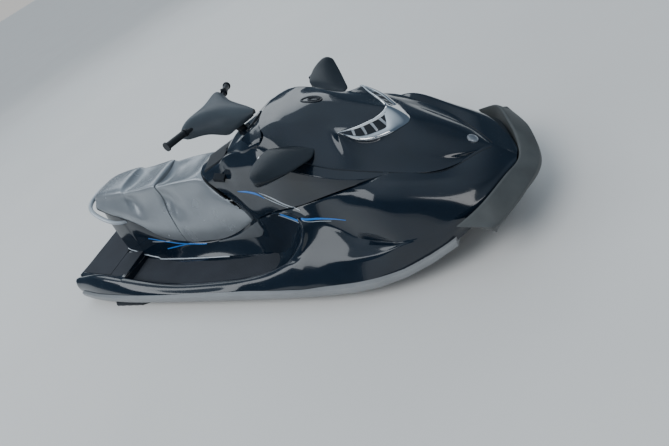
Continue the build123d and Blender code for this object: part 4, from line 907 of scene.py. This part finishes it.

# Pedestal: a silver strip round its foot as a painted highlight for the light reflected off its gloss edge,
# chevrons on its side
deck_tree = tree_of(deck)
FOOT_LINE = ((400, 184, 420), (420, 188, 408), (491, 206, 398), (640, 232, 352), (860, 252, 345),
             (1120, 266, 343), (1366, 276, 343))
# The silver strip along the foot line is a painted highlight that stands for the light reflected off the
# pedestal's gloss edge
welt("pedestal_painted_highlight", "silver", "craft", deck_tree, FOOT_LINE, 9, 3.0, "bright_trim")
CHEVRONS = (
    ("chevron_long", "blue", ((700, 205, 500), (860, 218, 455), (1000, 222, 425), (1180, 226, 412)), 8),
    ("chevron_low", "blue", ((820, 226, 405), (940, 224, 415), (1060, 222, 425)), 7),
    ("chevron_short", "silver", ((720, 212, 470), (800, 216, 462), (880, 216, 460)), 5),
)
for name, key, points, width in CHEVRONS:
    welt(name, key, "craft", deck_tree, points, width, 0.6, "gelcoat_deck")

# Grey trim panel under the front seat's corner
PANEL_TOP = ((1290, 214, 420), (1440, 216, 440), (1560, 216, 480), (1660, 226, 530), (1724, 240, 560))
PANEL_LOW = ((1300, 216, 408), (1450, 220, 418), (1580, 224, 428), (1680, 232, 446), (1738, 246, 500))
body_tree = tree_of(deck, console)
panels = []
for side in (1, -1):
    edges = [smooth_line([at(s, side * y, h) for s, y, h in line], 24) for line in (PANEL_TOP, PANEL_LOW)]
    edges = [[body_tree.find_nearest(p)[:2] for p in line] for line in edges]
    top_edge, low_edge = ([hit + n * 0.001 for hit, n in line] for line in edges)
    panels.append(band("panel", top_edge, low_edge, [n for _, n in edges[0]], 3.0))
settle(join("corner_panel", panels), "panel", "craft", "dark_plastic")

# Dark joint along the hood's edge, mats on the step behind the footwells
JOINT = ((2120, 268, 968), (2320, 312, 902), (2480, 313, 838), (2631, 293, 782), (2710, 268, 745),
         (2783, 245, 710), (2850, 198, 674), (2921, 126, 655), (2964, 70, 636), (3010, 14, 616))
welt("hood_joint", "dark", "craft", body_tree, JOINT, 7, 0.4, "dark_plastic")
step_mats = []
for side in (1, -1):
    inner, outer = [[at(s, side * y, PLATFORM) for s in (388, 440, 500, 558)] for y in (204, 448)]
    step_mats.append(band("step", inner, outer, [Vector((0, 0, 1))] * 4, 4.0, 1.0, 0.02))
settle(join("step_mats", step_mats), "mat", "craft", "mat")

# Stripes on the craft's sides: name, material, widths along the stripe, points along it
STRIPES = (
    ("stripe_low", "blue", (16, 13, 10, 7, 3),
     ((1980, 330, 662), (2047, 358, 652), (2117, 374, 646), (2193, 380, 640), (2282, 392, 634),
      (2377, 398, 628))),
    ("stripe_low_edge", "silver", (4, 4, 3, 2),
     ((1960, 322, 652), (2040, 357, 640), (2117, 376, 634), (2193, 386, 628), (2282, 396, 622))),
    ("stripe_high", "silver", (3, 9, 9, 3),
     ((1881, 271, 774), (1965, 299, 750), (2035, 322, 715), (2120, 345, 680))),
    ("stripe_high_second", "silver", (3, 6, 3), ((1905, 276, 748), (1975, 304, 724), (2045, 330, 694))),
    ("stripe_rear", "blue", (3, 12, 14, 4),
     ((1700, 220, 770), (1800, 240, 770), (1880, 268, 755), (1905, 276, 740))),
)
for name, key, widths, points in STRIPES:
    for side, hand in SIDES:
        ribbon = stripe(f"{name}_{hand}", body_tree, [(s, side * y, h) for s, y, h in points], widths)
        settle(ribbon, key, "craft", "gelcoat_deck")

# Every CAD node that still shows keeps its shape and gets a finished material
CAD_LOOK = {
    "hull": "hull", "rub_rail_port": "rail", "rub_rail_starboard": "rail",
    "mirror_glass_port": "mirror", "mirror_glass_starboard": "mirror",
    "steering_column": "dark", "handlebar": "dark", "grip_port": "dark", "grip_starboard": "dark",
    "throttle_lever": "dark", "switch_box": "dark", "shift_lever": "dark",
    "glovebox_lid": "dark", "grab_handle": "silver",
    "footwell_mat_port": "mat", "footwell_mat_starboard": "mat", "platform_mat": "mat",
    "sponson_port": "dark", "sponson_starboard": "dark", "intake_grate": "alloy", "ride_plate": "alloy",
    "pump_housing": "alloy", "impeller": "steel", "steering_nozzle": "alloy", "reverse_bucket": "alloy",
    "bow_eye": "steel", "stern_eye_port": "steel", "stern_eye_starboard": "steel",
    "engine_block": "alloy",
}
for name, key in CAD_LOOK.items():
    paint(nodes[name], key)

# Floor at the waterline, sky and lights
FLOOR_HALF = 150
FLOOR_TONE = (0.62, 0.62, 0.61)
floor_mesh = bpy.data.meshes.new("floor")
corners = [(x * FLOOR_HALF, y * FLOOR_HALF, 0) for x, y in ((-1, -1), (1, -1), (1, 1), (-1, 1))]
floor_mesh.from_pydata(corners, [], [(0, 1, 2, 3)])
floor = new_object("floor", floor_mesh)
floor_mesh.materials.append(shader("floor", FLOOR_TONE, 0.7, vary=0.02, vary_size=0.8))
world = bpy.data.worlds.new("studio")
bpy.context.scene.world = world
world.use_nodes = True
sky = world.node_tree
sky_light = sky.nodes["Background"]
sky_light.inputs["Strength"].default_value = 0.8
backdrop = add_node(sky, "Background", {"Color": (*FLOOR_TONE, 1)})
split = add_node(sky, "SeparateXYZ", sources={"Vector": add_node(sky, "TexCoord").outputs["Generated"]})
tone = add_ramp(sky, split.outputs["Z"], (0.40, (0.10, 0.14, 0.19)), (0.95, (0.78, 0.92, 1.05)))
sky.links.new(tone.outputs["Color"], sky_light.inputs["Color"])
mix = add_node(sky, "MixShader", sources={"Fac": add_node(sky, "LightPath").outputs["Is Camera Ray"]})
sky.links.new(sky_light.outputs["Background"], mix.inputs[1])
sky.links.new(backdrop.outputs["Background"], mix.inputs[2])
sky.links.new(mix.outputs["Shader"], sky.nodes["World Output"].inputs["Surface"])


def lamp(name, spot, target, size, power, color=(1, 1, 1)):
    data = bpy.data.lights.new(name, "AREA")
    data.shape = "RECTANGLE"
    data.size, data.size_y = size
    data.energy = power
    data.color = color
    obj = bpy.data.objects.new(name, data)
    bpy.context.scene.collection.objects.link(obj)
    obj.location = spot
    obj.rotation_euler = (Vector(target) - Vector(spot)).to_track_quat("-Z", "Y").to_euler()


# Soft boxes: behind the port quarter for the top faces, off the starboard quarter for the sides, at the bow
for name, spot, size, power, color in (
        ("port_quarter", (-5.4, 7.0, 6.6), (12.0, 5.0), 330, (0.90, 0.96, 1.0)),
        ("starboard_quarter", (-4.4, -4.2, 4.6), (5.6, 3.2), 185, (0.93, 0.97, 1.0)),
        ("bow", (4.5, -2.0, 2.6), (2.4, 1.0), 30, (1, 1, 1))):
    lamp(name, spot, (0, 0, 0.4), size, power, color)
sun_data = bpy.data.lights.new("sun", "SUN")
sun_data.energy = 1.7
sun_data.angle = radians(30)
sun = bpy.data.objects.new("sun", sun_data)
bpy.context.scene.collection.objects.link(sun)
sun.rotation_euler = Vector((0.9, 2.2, -3.0)).to_track_quat("-Z", "Y").to_euler()
sun.visible_glossy = False
